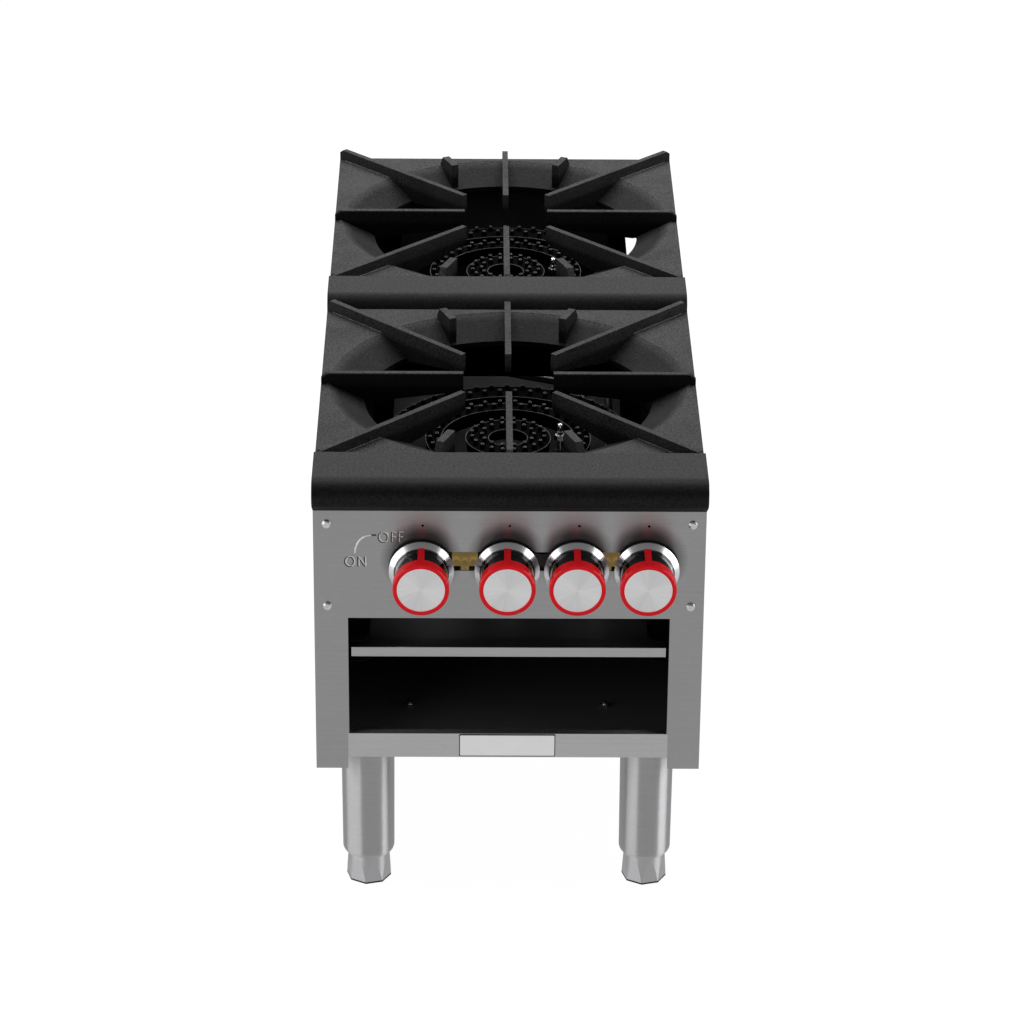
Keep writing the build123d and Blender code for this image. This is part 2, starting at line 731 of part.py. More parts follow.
def feed_tubes():
    """Four gas tubes from the valves to the mixers."""
    start, y = valve_back + outlet_length / 2, feed_drop_y
    sides = (-mixer_offset, mixer_offset)
    tubes = []
    end = front_grate_y - mixer_reach
    for x, side in zip(knob_x[:2], sides):
        tubes.append([(x, start, knob_height), (x, y, knob_height), (side, y, mixer_height),
                      (side, end, mixer_height)])
    end = rear_grate_y - mixer_reach
    turns = (end - 2 * feed_turn_gap, end - feed_turn_gap)
    for x, run, side, turn in zip(knob_x[2:], feed_run_x, sides, turns):
        tubes.append([(x, start, knob_height), (x, y, knob_height), (run, y, feed_level),
                      (run, turn, feed_level), (side, turn, mixer_height),
                      (side, end, mixer_height)])
    return group(*[tube(points, feed_bend, feed_radius) for points in tubes])


# ---------------------------------------------------------------- gas
def manifold():
    """Gas manifold: one pipe across the front, closed at the left, into the elbow."""
    y, z, end = manifold_y, manifold_z, supply_x - elbow_centre
    pipe = rod((manifold_left, y, z), (end, y, z), manifold_radius)
    return pipe - rod((manifold_left + pipe_wall, y, z), (end + 1, y, z),
                      manifold_radius - pipe_wall)


def supply_pipe():
    """Supply pipe along the right side, out through the back panel to its threaded end."""
    start, end = manifold_y + elbow_centre, body_depth + inlet_reach
    shoulder, bore = end - inlet_thread, manifold_radius - pipe_wall
    return turned_along_y([(bore, start), (manifold_radius, start), (manifold_radius, shoulder),
                           (inlet_thread_radius, shoulder), (inlet_thread_radius, end),
                           (bore, end)], supply_x, manifold_z)


def elbow():
    """Elbow fitting that joins manifold and supply pipe, with a socket for each."""
    corner = (supply_x, manifold_y, manifold_z)
    reach = elbow_centre + elbow_socket
    body = Pos(*corner) * Sphere(elbow_radius)
    body += rod((supply_x - reach, manifold_y, manifold_z), corner, elbow_radius)
    body += rod(corner, (supply_x, manifold_y + reach, manifold_z), elbow_radius)
    body -= rod((supply_x - reach - 1, manifold_y, manifold_z),
                (supply_x - elbow_centre, manifold_y, manifold_z), manifold_radius)
    body -= rod((supply_x, manifold_y + elbow_centre, manifold_z),
                (supply_x, manifold_y + reach + 1, manifold_z), manifold_radius)
    return body


def manifold_brackets():
    """Two angle brackets on the back of the control panel, under the manifold."""
    low = manifold_z - manifold_radius
    brackets = []
    for x in bracket_x:
        strip = block(x - bracket_width / 2, x + bracket_width / 2, sheet,
                      manifold_y + manifold_radius, low - bracket_thickness, low)
        tab = block(x - bracket_width / 2, x + bracket_width / 2, sheet,
                    sheet + bracket_thickness, low - bracket_thickness, low + bracket_tab)
        brackets.append(strip + tab)
    return group(*brackets)


def burner_valve(x):
    """Brass burner valve: body on the stem's axis, nut, outlet, and inlet on the manifold."""
    z = knob_height
    body = turned_along_y([(0, valve_front + valve_nut), (valve_radius, valve_front + valve_nut),
                           (valve_radius, valve_back - valve_cone), (valve_inlet_radius, valve_back),
                           (0, valve_back)], x, z)
    body += hexagon_to_back(valve_nut_radius, (x, valve_front, z), valve_nut + 1)
    body += hexagon_to_back(outlet_hex_radius, (x, valve_back - 1, z), outlet_length + 1)
    body += rod((x, valve_inlet_y, manifold_z), (x, valve_inlet_y, z), valve_inlet_radius)
    body -= block(x - valve_radius, x + valve_radius, valve_front, valve_back,
                  0, manifold_z + manifold_radius / 2)
    body -= rod((x - valve_radius, manifold_y, manifold_z),
                (x + valve_radius, manifold_y, manifold_z), manifold_radius)
    body -= rod((x, valve_front - 1, z), (x, valve_front + stem_in_valve + stem_end_play, z),
                stem_radius + stem_play)
    end = valve_back + outlet_length
    return body - rod((x, end - outlet_length / 2, z), (x, end + 1, z), feed_radius)


def pilot_valve(x):
    """Small brass pilot valve on the manifold, with three hexagon plugs and an outlet."""
    wide, deep, high = pilot_valve_size
    y, z, back = pilot_valve_y, pilot_valve_z, pilot_valve_y + deep / 2
    body = block(x - wide / 2, x + wide / 2, y - deep / 2, back, z - high / 2, z + high / 2)
    body = chamfer(body.edges().filter_by(Axis.Z), pilot_valve_chamfer)
    for place, radius in pilot_valve_plugs:
        body += hexagon_to_back(radius, (x + place, y - deep / 2 - pilot_plug_length, z), deep)
    body += hexagon_to_back(pilot_outlet_radius, (x, y, z), deep / 2 + pilot_outlet_length)
    body += rod((x, y, manifold_z), (x, y, z), pilot_inlet_radius)
    body -= block(x - wide / 2, x + wide / 2, y - deep / 2, back, 0, manifold_z + manifold_radius / 2)
    body -= rod((x - wide / 2, manifold_y, manifold_z), (x + wide / 2, manifold_y, manifold_z),
                manifold_radius)
    return body - rod((x, back, z), (x, back + pilot_outlet_length + 1, z), pilot_tube_radius)


def pilot_tubes():
    """Two thin tubes from the pilot valves to the pilot burners."""
    tubes = []
    start, drop = pilot_valve_y + pilot_valve_size[1] / 2, pilot_tube_drop_y
    low = pilot_tube_level
    for x, run, centre, side in zip(pilot_valve_x, pilot_tube_x, burner_ys, (0.0, pilot_tube_jog)):
        y = centre + pilot_y
        points = [(x, start, pilot_valve_z), (x, drop, pilot_valve_z), (x, drop, low),
                  (run, drop, low)]
        if side:
            points += [(run, y - side, low), (pilot_x, y - side, low)]
        points += [(pilot_x, y, low), (pilot_x, y, pilot_seat)]
        tubes.append(tube(points, pilot_tube_bend, pilot_tube_radius))
    return group(*tubes)


def pilot_burner(centre_y):
    """Pilot burner: slim body with a nut, a groove and a domed head with a slot."""
    r, groove, tall = pilot_body_radius, pilot_groove, pilot_top - pilot_seat
    high = tall - pilot_head
    low = high - pilot_groove_height
    nut = hexagon_bar(pilot_hex_radius, pilot_hex_height)
    piece = Pos(0, 0, tall - pilot_hex_drop - pilot_hex_height) * nut
    piece += turned([(0, 0), (r, 0), (r, low), (r - groove, low + 1), (r - groove, high - 1),
                     (r, high), (r, tall - pilot_dome), (r * 0.85, tall - pilot_dome * 0.4),
                     (r * 0.45, tall), (0, tall)])
    piece -= block(-pilot_slot_half, pilot_slot_half, -r - 1, r + 1, high + 2, tall - pilot_dome)
    return Pos(pilot_x, centre_y + pilot_y, pilot_seat) * piece


def pilot_bracket(centre_y):
    """Strip that holds a pilot burner, screwed to the foot of the middle ring."""
    y, thickness, wide = centre_y + pilot_y, pilot_bracket_size[1], pilot_bracket_size[0] / 2
    strip = block(pilot_x - pilot_hex_radius - 1, middle_ring[1] - ring_draft * 2,
                  y - wide, y + wide, pilot_seat - thickness, pilot_seat)
    return strip - rod((pilot_x, y, pilot_seat - thickness - 1), (pilot_x, y, pilot_seat + 1),
                       pilot_tube_radius + screw_hole_play)


# ---------------------------------------------------------------- knobs
def knob_profile():
    """Outer and inner outline of a knob's chrome body as (radius, y) points."""
    back = -knob_gap
    seat = -(knob_front - knob_face_recess - knob_face_thickness)
    step = -(knob_front - knob_ring_depth)
    skirt = back - skirt_depth
    inside = knob_radius - knob_wall
    return [(0, seat), (knob_face_radius, seat), (knob_face_radius, step), (knob_radius, step),
            (knob_radius, skirt - 0.8), (skirt_inner_radius, skirt),
            (skirt_radius, back - skirt_lip), (skirt_radius, back),
            (skirt_radius - knob_wall, back), (inside, skirt + 1), (inside, step + knob_wall),
            (knob_hub_radius, step + knob_wall), (knob_hub_radius, back - 3),
            (stem_radius + stem_play, back - 3), (stem_radius + stem_play, back - 3 - stem_in_knob),
            (0, back - 3 - stem_in_knob)]


def knob_body(x):
    return turned_along_y(knob_profile(), x, knob_height)


def knob_ring(x):
    """Red ring round the knob's face, in one piece with the pointer along the body."""
    step = -(knob_front - knob_ring_depth)
    front = -knob_front
    r0, r1 = knob_face_radius, knob_ring_radius
    ring = turned_along_y([(r0, step), (r1, step), (r1, front + 1.2), (r1 - 1.2, front),
                           (r0, front)], x, knob_height)
    skirt, low = -knob_gap - skirt_depth, knob_height + knob_radius - 1
    pointer = block(x - pointer_width / 2, x + pointer_width / 2, step, skirt + 1,
                    low, knob_height + r1)
    core = [(0, step - 1)] + [(knob_radius, step - 1)] + knob_profile()[4:8] + [(0, -knob_gap)]
    pointer -= turned_along_y(core, x, knob_height)
    return ring + pointer


def knob_face(x):
    """Spun aluminium disc in the knob's face."""
    back = -(knob_front - knob_face_recess - knob_face_thickness)
    front = -(knob_front - knob_face_recess)
    return turned_along_y([(0, back), (knob_face_radius, back), (knob_face_radius, front),
                           (0, front)], x, knob_height)


def valve_stem(x):
    """Stem of a valve, from inside the valve body into the hub of the knob."""
    front = -knob_gap - 3 - stem_in_knob
    return rod((x, front, knob_height), (x, valve_front + stem_in_valve, knob_height), stem_radius)


# ---------------------------------------------------------------- tray and runners
def runner():
    """Right tray runner: a channel that is open to the middle, both lips turned up."""
    web, low, high = runner_web_outer, runner_bottom, runner_top
    bend = runner_web_inner - runner_flange
    tip = bend - runner_lip
    path = [(tip, low + runner_lip_rise), (bend, low), (web, low), (web, high), (bend, high),
            (tip, high + runner_lip_rise)]
    return lengthwise(folded(path, sheet), runner_front, back_inner)


def runner_hanger():
    """Right hanger: a bent strap from the side panel to the web of the runner."""
    start = (body_depth - runner_hanger_width) / 2
    skin, level = inner_half - sheet, runner_top
    path = [(skin, level + runner_hanger_tab), (skin, level), (runner_web_outer, level),
            (runner_web_outer, runner_bottom)]
    return lengthwise(folded(path, sheet), start, start + runner_hanger_width)


def drip_tray():
    """Shallow drip tray: flat bottom, upright walls and a folded front edge."""
    y0, y1 = tray_front, tray_front + tray_length
    z0, z1 = tray_bottom, tray_bottom + tray_height
    tray = block(-tray_half, tray_half, y0, y1, z0, z1)
    tray -= block(-tray_half + sheet, tray_half - sheet, y0 + tray_lip_depth, y1 - sheet,
                  z0 + sheet, z1 + 1)
    tray -= block(-tray_half + sheet, tray_half - sheet, y0 + sheet, y0 + tray_lip_depth - sheet,
                  z0 - 1, z1 - sheet)
    return tray


# ---------------------------------------------------------------- legs
def leg_places():
    for side in (-1, 1):
        for y in (leg_inset, body_depth - leg_inset):
            yield side * leg_x, y


def leg_bolt_places():
    reach = leg_bolt_spacing / 2
    for x, y in leg_places():
        for dx in (-reach, reach):
            for dy in (-reach, reach):
                yield x + dx, y + dy


def leg(x, y):
    """Leg: mounting plate and a slightly tapered barrel with a round shoulder."""
    top = floor_under - leg_plate_thickness
    plate = extrude(fillet(Rectangle(leg_plate, leg_plate).vertices(), leg_plate_corner),
                    amount=leg_plate_thickness)
    reach = leg_bolt_spacing / 2
    for dx in (-reach, reach):
        for dy in (-reach, reach):
            plate -= Pos(dx, dy, leg_plate_thickness / 2) * Cylinder(
                leg_bolt_radius + screw_hole_play, 2 * leg_plate_thickness)
    bore, inside = foot_stud_radius + foot_stud_play, leg_bottom_radius - leg_wall
    profile = make_face(Polyline(
        (bore, leg_bottom), (leg_bottom_radius, leg_bottom), (leg_top_radius, top),
        (inside, top), (inside, leg_bottom + leg_plug), (bore, leg_bottom + leg_plug), close=True))
    corner = profile.vertices().sort_by_distance(Vertex(leg_bottom_radius, leg_bottom))[0]
    profile = fillet(corner, leg_shoulder)
    barrel = revolve(Plane.XZ * profile, Axis.Z)
    return Pos(x, y, 0) * (barrel + Pos(0, 0, top) * plate)


def foot(x, y):
    """Levelling foot: an octagon turned round towards its top, on a stud in the leg."""
    octagon = Rot(0, 0, foot_turn) * RegularPolygon(foot_corner_radius, 8)
    prism = extrude(octagon, amount=leg_bottom)
    prism &= turned([(0, -1), (foot_corner_radius, -1), (foot_collar_radius, leg_bottom),
                     (0, leg_bottom)])
    stud = Pos(0, 0, leg_bottom) * Cylinder(
        foot_stud_radius, foot_stud_length, align=(Align.CENTER, Align.CENTER, Align.MIN))
    return Pos(x, y, 0) * (prism + stud)


# ---------------------------------------------------------------- fasteners
def panel_screws():
    """Four pan-head screws of the control panel."""
    screws = []
    r, head = panel_screw_head_radius, panel_screw_head
    for x in (-panel_screw_x, panel_screw_x):
        for z in panel_screw_heights:
            screws.append(turned_along_y(
                [(0, -head), (0.55 * r, -head * 0.97), (0.88 * r, -head * 0.7), (r, -head * 0.3),
                 (r, 0), (panel_screw_radius, 0), (panel_screw_radius, panel_screw_length),
                 (0, panel_screw_length)], x, z))
    return group(*screws)


def leg_bolts():
    """Hexagon bolts up through the leg plates and the cabinet floor, with their nuts."""
    head = hexagon_bar(leg_bolt_head_radius, leg_bolt_head)
    top = floor_under + sheet
    low = floor_under - leg_plate_thickness - leg_bolt_head
    shank = rod((0, 0, low), (0, 0, top + leg_bolt_head + leg_bolt_tip), leg_bolt_radius)
    bolt = shank + (Pos(0, 0, top) * head) + (Pos(0, 0, low) * head)
    return group(*[Pos(x, y, 0) * bolt for x, y in leg_bolt_places()])


# ---------------------------------------------------------------- the assembly
right_side = side_panel()
keep("right_side_panel", right_side)
keep("left_side_panel", mirrored_x(right_side))
keep("control_panel", control_panel())
keep("cabinet_floor", cabinet_floor())
keep("back_panel", back_panel())
keep("front_ledge", ledge(-nose_reach, front_ledge_back, 0.0, panel_top))
keep("middle_ledge", ledge(mid_ledge_front, mid_ledge_back, mid_ledge_front, rim_top))
right_rim = side_rim()
keep("side_rims", group(right_rim, mirrored_x(right_rim)))
keep("rear_rim", rear_rim())
keep("crossmember", crossmember())
keep("heat_baffle", baffle())
right_rail = burner_rail()
keep("burner_rails", group(right_rail, mirrored_x(right_rail)))

for where, centre in zip(("front", "rear"), burner_ys):
    keep(where + "_grate", grate(centre))
    keep(where + "_inner_burner", inner_burner(centre))
    keep(where + "_outer_burner", outer_burner(centre))

mouths = [(x, centre - mixer_reach) for centre in burner_ys for x in (-mixer_offset, mixer_offset)]
keep("air_shutters", group(*[air_shutter(*place) for place in mouths]))
keep("orifice_hoods", group(*[orifice_hood(*place) for place in mouths]))
keep("feed_tubes", feed_tubes())
keep("burner_valves", group(*[burner_valve(x) for x in knob_x]))
keep("manifold", manifold())
keep("supply_pipe", supply_pipe())
keep("supply_elbow", elbow())
keep("manifold_brackets", manifold_brackets())
keep("pilot_valves", group(*[pilot_valve(x) for x in pilot_valve_x]))
keep("pilot_tubes", pilot_tubes())
keep("pilot_burners", group(*[pilot_burner(centre) for centre in burner_ys]))
keep("pilot_brackets", group(*[pilot_bracket(centre) for centre in burner_ys]))

for number, x in enumerate(knob_x, 1):
    keep(f"valve_stem_{number}", valve_stem(x))
    keep(f"knob_body_{number}", knob_body(x))
    keep(f"knob_ring_{number}", knob_ring(x))
    keep(f"knob_face_{number}", knob_face(x))

right_runner, right_hanger = runner(), runner_hanger()
keep("tray_runners", group(right_runner, mirrored_x(right_runner)))
keep("runner_hangers", group(right_hanger, mirrored_x(right_hanger)))
keep("drip_tray", drip_tray())

for name, (x, y) in zip(("front_left", "rear_left", "front_right", "rear_right"), leg_places()):
    keep("leg_" + name, leg(x, y))
    keep("foot_" + name, foot(x, y))

keep("panel_screws", panel_screws())
keep("leg_bolts", leg_bolts())

for name, piece in nodes.items():
    export_step(piece, f"parts/{name}.step")

print(f"nodes {len(nodes)}, origin {origin_y:.2f} behind the panel face")
print("knob axes x", [round(x, 2) for x in knob_x], "z", knob_height)
print(f"grate centres y {[round(y - origin_y, 2) for y in burner_ys]}, top {grate_top:.1f}")
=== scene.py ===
# %% [markdown]
# # A stock pot range, dressed for its photograph
#
# The imported model gives every solid piece of the range in its real place. This script
# gives each piece its surface and adds the small things that the solids leave out: the
# stamped ON and OFF, a bare plate, the mouths of the burner ports, and the small rounds
# and edges of the castings, painted lighter as highlight. Then it sets up floor, light
# and camera.
# Lengths are metres. +Z is up, +Y points to the back, and the knobs face -Y.

import json
from math import cos, pi, radians, sin

import bmesh
import bpy
from mathutils import Matrix, Vector

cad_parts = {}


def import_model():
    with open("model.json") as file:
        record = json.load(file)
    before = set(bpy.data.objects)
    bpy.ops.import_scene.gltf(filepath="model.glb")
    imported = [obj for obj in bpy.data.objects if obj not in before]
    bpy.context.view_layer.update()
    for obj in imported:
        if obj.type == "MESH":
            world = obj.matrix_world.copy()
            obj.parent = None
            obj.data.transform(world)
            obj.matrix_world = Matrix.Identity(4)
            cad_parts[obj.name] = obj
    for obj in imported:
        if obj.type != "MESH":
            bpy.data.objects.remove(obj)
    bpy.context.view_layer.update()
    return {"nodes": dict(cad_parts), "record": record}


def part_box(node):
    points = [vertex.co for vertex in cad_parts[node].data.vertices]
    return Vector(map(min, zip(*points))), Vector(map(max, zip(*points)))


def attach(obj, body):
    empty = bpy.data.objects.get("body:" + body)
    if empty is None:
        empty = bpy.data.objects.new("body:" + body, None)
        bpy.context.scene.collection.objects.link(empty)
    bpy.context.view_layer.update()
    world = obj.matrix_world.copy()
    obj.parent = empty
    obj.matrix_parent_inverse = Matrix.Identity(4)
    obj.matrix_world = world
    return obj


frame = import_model()
nodes = frame["nodes"]
slot_of = {part["node"]: part["material_slot"] for part in frame["record"]["subparts"]}
materials = {}

# %% [markdown]
# ## Writing shader maths as plain maths
#
# A material is a graph of nodes. It could be wired node by node, but then a formula is
# hard to read. `Wire` holds one output of a node, and adding or multiplying wires puts
# a Math node behind them, so that a formula in the script reads as a formula.

# %%
class Wire:
    """One output of a node, with the signs of plain maths."""

    def __init__(self, graph, socket):
        self.graph = graph
        self.socket = socket

    def math(self, operation, *others):
        return self.graph.add("Math", inputs=dict(enumerate((self, *others))), operation=operation)

    def __add__(self, other):
        return self.math("ADD", other)

    def __radd__(self, other):
        return self.math("ADD", other)

    def __sub__(self, other):
        return self.math("SUBTRACT", other)

    def __rsub__(self, other):
        return (self * -1) + other

    def __mul__(self, other):
        return self.math("MULTIPLY", other)

    def __rmul__(self, other):
        return self.math("MULTIPLY", other)

    def __truediv__(self, other):
        return self.math("DIVIDE", other)

    def __pow__(self, other):
        return self.math("POWER", other)

    def above(self, edge, soft=0.0):
        """0 below the edge, 1 above it, with a soft step of that width."""
        if not soft:
            return self.math("GREATER_THAN", edge)
        return ((self - edge) / soft + 0.5).math("MINIMUM", 1.0).math("MAXIMUM", 0.0)


print("wires can be added, multiplied and compared")

# %% [markdown]
# ## A graph, and a recipe for a material
#
# `Graph` is a tree of nodes whose `add` puts in a node of any kind. `Recipe` is a graph
# with Blender's all-round shader in it, and has short names for what the surfaces of the
# range need: where a point lies, noise, a mix of two colours, and relief.

# %%
class Graph:
    """A tree of nodes."""

    def __init__(self, tree):
        self.tree = tree

    def feed(self, socket, value):
        """Links a wire to the socket, or sets the socket itself to a plain value."""
        if isinstance(value, Wire):
            self.tree.links.new(value.socket, socket)
        elif isinstance(value, tuple) and len(value) == 3 and len(socket.default_value) == 4:
            socket.default_value = (*value, 1.0)
        else:
            socket.default_value = value

    def add(self, kind, out=0, inputs=None, **settings):
        """Puts in a node: first its settings, then its sockets. Returns one of its outputs."""
        node = self.tree.nodes.new("ShaderNode" + kind)
        for name, value in settings.items():
            setattr(node, name, value)
        for name, value in (inputs or {}).items():
            self.feed(node.inputs[name], value)
        return Wire(self, node.outputs[out])

    def show(self, shader):
        """Sends a shader to the output of the tree."""
        output = next(node for node in self.tree.nodes if node.type.startswith("OUTPUT"))
        self.feed(output.inputs["Surface"], shader)


class Recipe(Graph):
    """One material, with values for its shader's sockets."""

    def __init__(self, name, **sockets):
        self.material = bpy.data.materials.new(name)
        self.material.use_nodes = True
        super().__init__(self.material.node_tree)
        self.shader = next(node for node in self.tree.nodes if node.type == "BSDF_PRINCIPLED")
        self.paint(**sockets)

    def paint(self, **sockets):
        """Feeds values or wires to the shader's sockets."""
        for socket, value in sockets.items():
            self.feed(self.shader.inputs[socket.replace("_", " ")], value)

    def place(self):
        """Where a point lies on the range at rest, in metres."""
        return self.add("TexCoord", out="Object")

    def axis(self, letter):
        """The X, Y or Z of the place."""
        return self.add("SeparateXYZ", out=letter, inputs={"Vector": self.place()})

    def reach(self, x, z):
        """Distance from the line that runs front to back through x and z."""
        return ((self.axis("X") - x) ** 2 + (self.axis("Z") - z) ** 2).math("SQRT")

    def stretched(self, x, y, z):
        """The place with its axes scaled, which draws a noise out into grain."""
        return self.add("VectorMath", operation="MULTIPLY", inputs={0: self.place(), 1: (x, y, z)})

    def noise(self, scale, detail=3.0, roughness=0.5, vector=None):
        """Soft noise between 0 and 1, mostly near 0.5, over the place or another vector."""
        if vector is None:
            vector = self.place()
        return self.add("TexNoise", inputs={"Vector": vector, "Scale": scale,
                                            "Detail": detail, "Roughness": roughness})

    def join(self, x, y, z):
        return self.add("CombineXYZ", inputs={"X": x, "Y": y, "Z": z})

    def tone(self, level, blue):
        """A grey of that level, with its blue that many times as strong."""
        return self.join(level, level, level * blue)

    def mix(self, share, first, second):
        """A colour that goes from the first to the second as share goes from 0 to 1."""
        return self.add("Mix", out=2, data_type="RGBA", inputs={"Factor": share, 6: first, 7: second})

    def bump(self, height, depth):
        """Relief: height is between 0 and 1, and depth is what it stands for in metres."""
        normal = self.add("Bump", inputs={"Height": height, "Distance": depth, "Strength": 1.0})
        self.paint(Normal=normal)


def grey(value):
    """A plain grey with a trace of blue."""
    return (value, value, value * 1.02)


print("recipes have place, noise, mix and bump")

# %% [markdown]
# ## Brushed stainless sheet
#
# The grain of the sheet runs level round the cabinet. Grain spreads a reflection across
# itself, so a knob's mirror image is drawn out into a tall smear above the knob. Deep
# scratches in the relief could do that, but they need many samples to look calm. The
# shader's own anisotropy does it at once, turned by a quarter so that the spread is
# upright, and a noise drawn out along the sheet gives the fine lines seen up close.

# %%
QUARTER_TURN = 0.25
GRAIN_ALONG, GRAIN_ACROSS = 9.0, 900.0
MOTTLE = 160.0
# dark grey painted on the inner faces of the sheets as shade
INSIDE_SHADE_GREY = 0.075


def grain(recipe):
    """Level brush lines with a faint mottle, 0 to 1."""
    along = recipe.stretched(GRAIN_ALONG, GRAIN_ALONG, GRAIN_ACROSS)
    lines = recipe.noise(1.0, detail=4.0, roughness=0.7, vector=along)
    mottle = recipe.noise(1.0, detail=2.0, vector=recipe.stretched(MOTTLE, MOTTLE, GRAIN_ACROSS / 2))
    return lines * 0.7 + mottle * 0.3


def brushed(name, tone, roughness, spread=0.85, inside=None, dull=INSIDE_SHADE_GREY, painted_shade=None):
    """Sheet steel. inside masks its inner side, painted dark grey as shade, and the last argument is the
    share of tone that a painted shade takes away.
    """
    recipe = Recipe(name, Metallic=1.0, Specular_IOR_Level=0.10,
                    Anisotropic=spread, Anisotropic_Rotation=QUARTER_TURN)
    lines = grain(recipe)
    patches = recipe.noise(7.0, detail=4.0, roughness=0.55)
    level = tone * (1.0 + (lines - 0.5) * 0.38 + (patches - 0.5) * 0.24)
    if painted_shade:
        level = level * (1.0 - painted_shade(recipe))
    color = recipe.tone(level, 1.015)
    rough = roughness + (patches - 0.5) * 0.10 + (lines - 0.5) * 0.06
    # the inner side is rougher and not metallic, and painted dark grey as shade
    if inside:
        shaded_inside = inside(recipe)
        color = recipe.mix(shaded_inside, color, grey(dull))
        rough = rough + shaded_inside * 0.25
        recipe.paint(Metallic=1.0 - shaded_inside)
    recipe.paint(Base_Color=color, Roughness=rough)
    recipe.bump(lines, 0.00002)
    materials[name] = recipe.material


brushed("leg_steel", 0.66, 0.42, spread=1.0)
print("legs and sheets share one brushed steel")

# %% [markdown]
# ## Painted shade inside the sheets
#
# Inside the cabinet the sheets are dull, and their colour is painted dark as shade. Each
# face could get a second material, but the solids come as whole pieces. A mask from the
# place tells the two sides apart: its edge lies in the thickness of the sheet, so that the
# shown face stays clear of it.

# %%
SHEET = 0.0015
IN_SHEET = 0.0012
HAIR = 0.0002
PANEL_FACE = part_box("control_panel")[0].y
BACK_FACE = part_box("back_panel")[1].y
TRAY_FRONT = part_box("drip_tray")[0].y
HALF_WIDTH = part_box("right_side_panel")[1].x


def behind(level):
    """A mask: 1 behind this level of Y, 0 in front of it."""
    def mask(recipe):
        return recipe.axis("Y").above(level)
    return mask


def in_front_of_back(recipe):
    """1 on the inner face of the back panel."""
    return 1 - recipe.axis("Y").above(BACK_FACE - HAIR)


def inner_side_wall(recipe):
    """1 on the inner faces of the side panels, behind their front flanges."""
    outside = recipe.axis("X").math("ABSOLUTE").above(HALF_WIDTH - HAIR)
    front = 1 - recipe.axis("Y").above(PANEL_FACE + 2 * SHEET)
    return 1 - outside.math("MAXIMUM", front)


print(f"the panel's face lies at y = {PANEL_FACE:.4f}, the back's at y = {BACK_FACE:.4f}")

# %% [markdown]
# ## Painted shade above the knobs, and the six sheet steels
#
# Round each knob the panel is darker, a little more so above it, where the knob's blurred
# image and its shadow fall. The image alone comes out too weak, so a soft disc over each
# knob takes part of the steel's tone away: a painted reflection and shadow of the knob.

# %%
STEEL_TONE = 0.45
RAIL_DEPTH = 0.0120
# painted shade over each knob: how much tone it takes, and its size and rise
KNOB_SHADE = 0.62
KNOB_SHADE_RADIUS, KNOB_SHADE_SOFT, KNOB_SHADE_RISE = 0.041, 0.016, 0.013
KNOBS = (1, 2, 3, 4)
KNOB_MIDDLES = [(low + high) / 2 for low, high in (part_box(f"knob_face_{n}") for n in KNOBS)]
KNOB_HEIGHT = KNOB_MIDDLES[0].z


def above_knobs(recipe):
    """The share of tone that a soft disc of painted shade over each knob takes away."""
    painted_shade = 0.0
    for middle in KNOB_MIDDLES:
        reach = recipe.reach(middle.x, middle.z + KNOB_SHADE_RISE)
        painted_shade = (1 - reach.above(KNOB_SHADE_RADIUS, KNOB_SHADE_SOFT)).math("MAXIMUM", painted_shade)
    return painted_shade * KNOB_SHADE


# behind its shown face each sheet is painted dark grey as shade; the tray darker still
brushed("side_steel", STEEL_TONE, 0.34, inside=inner_side_wall)
brushed("panel_steel", STEEL_TONE, 0.30, inside=behind(PANEL_FACE + IN_SHEET), painted_shade=above_knobs)
brushed("rail_steel", STEEL_TONE * 1.50, 0.34, inside=behind(PANEL_FACE + RAIL_DEPTH))
brushed("back_steel", STEEL_TONE * 1.1, 0.42, inside=in_front_of_back)
brushed("tray_steel", STEEL_TONE * 1.35, 0.36, inside=behind(TRAY_FRONT + IN_SHEET), dull=0.020)
print("sheet steels:", ", ".join(materials))

# %% [markdown]
# ## Black enamel on the ledges
#
# The ledges and rims have a matte baked coat with an even orange peel. Relief alone looks
# too smooth from where the camera stands, so a fine noise also speckles the tone. The
# rolled nose of a ledge is painted darker than its flat top, as shade, and a mask from the
# place says where the top turns down.

# %%
LEDGE_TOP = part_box("front_ledge")[1].z
NOSE_DEPTH = {"front_ledge": 0.0225, "middle_ledge": 0.0150}
NOSE_FALL = 0.014
NOSE_SHADE = 0.60


def enamel(name, ledge=None):
    """Matte black coat. The nose of a ledge gets its shade."""
    recipe = Recipe(name, Specular_IOR_Level=0.03)
    peel = recipe.noise(1500.0, detail=2.0)
    cloud = recipe.noise(14.0, detail=4.0)
    sand = recipe.noise(330.0, roughness=0.6)
    level = 0.022 + cloud * 0.008 + (peel - 0.5) * 0.012 + (sand - 0.5) * 0.050
    # the nose of a ledge is painted darker, as shade
    if ledge:
        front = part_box(ledge)[0].y
        nose = recipe.axis("Z").above(LEDGE_TOP - NOSE_FALL, 0.010)
        nose = nose * (1 - recipe.axis("Y").above(front + NOSE_DEPTH[ledge], 0.008))
        level = level * (1 - nose * NOSE_SHADE)
    recipe.paint(Base_Color=recipe.tone(level, 1.04), Roughness=0.58 + cloud * 0.12)
    recipe.bump(peel, 0.00008)
    materials[name] = recipe.material


enamel("black_enamel")
for ledge in NOSE_DEPTH:
    enamel(f"{ledge}_enamel", ledge)
print(f"enamel for the rims and {len(NOSE_DEPTH)} ledges")

# %% [markdown]
# ## Cast iron above the flames
#
# The castings are sandy: a coarse noise lifts the surface, a fine one leaves grey dust on
# it, and the high places are rubbed a touch lighter. The grates are painted darker as
# shade down in the bowls and on the sides of the ribs that run from left to right, where
# little light falls. These zones are masks of the place again, worked out from the boxes
# of the grates.

# %%
RIB_OVER_PLATE = 0.0140
RIB_HALF, RIB_MARGIN = 0.00375, 0.0005
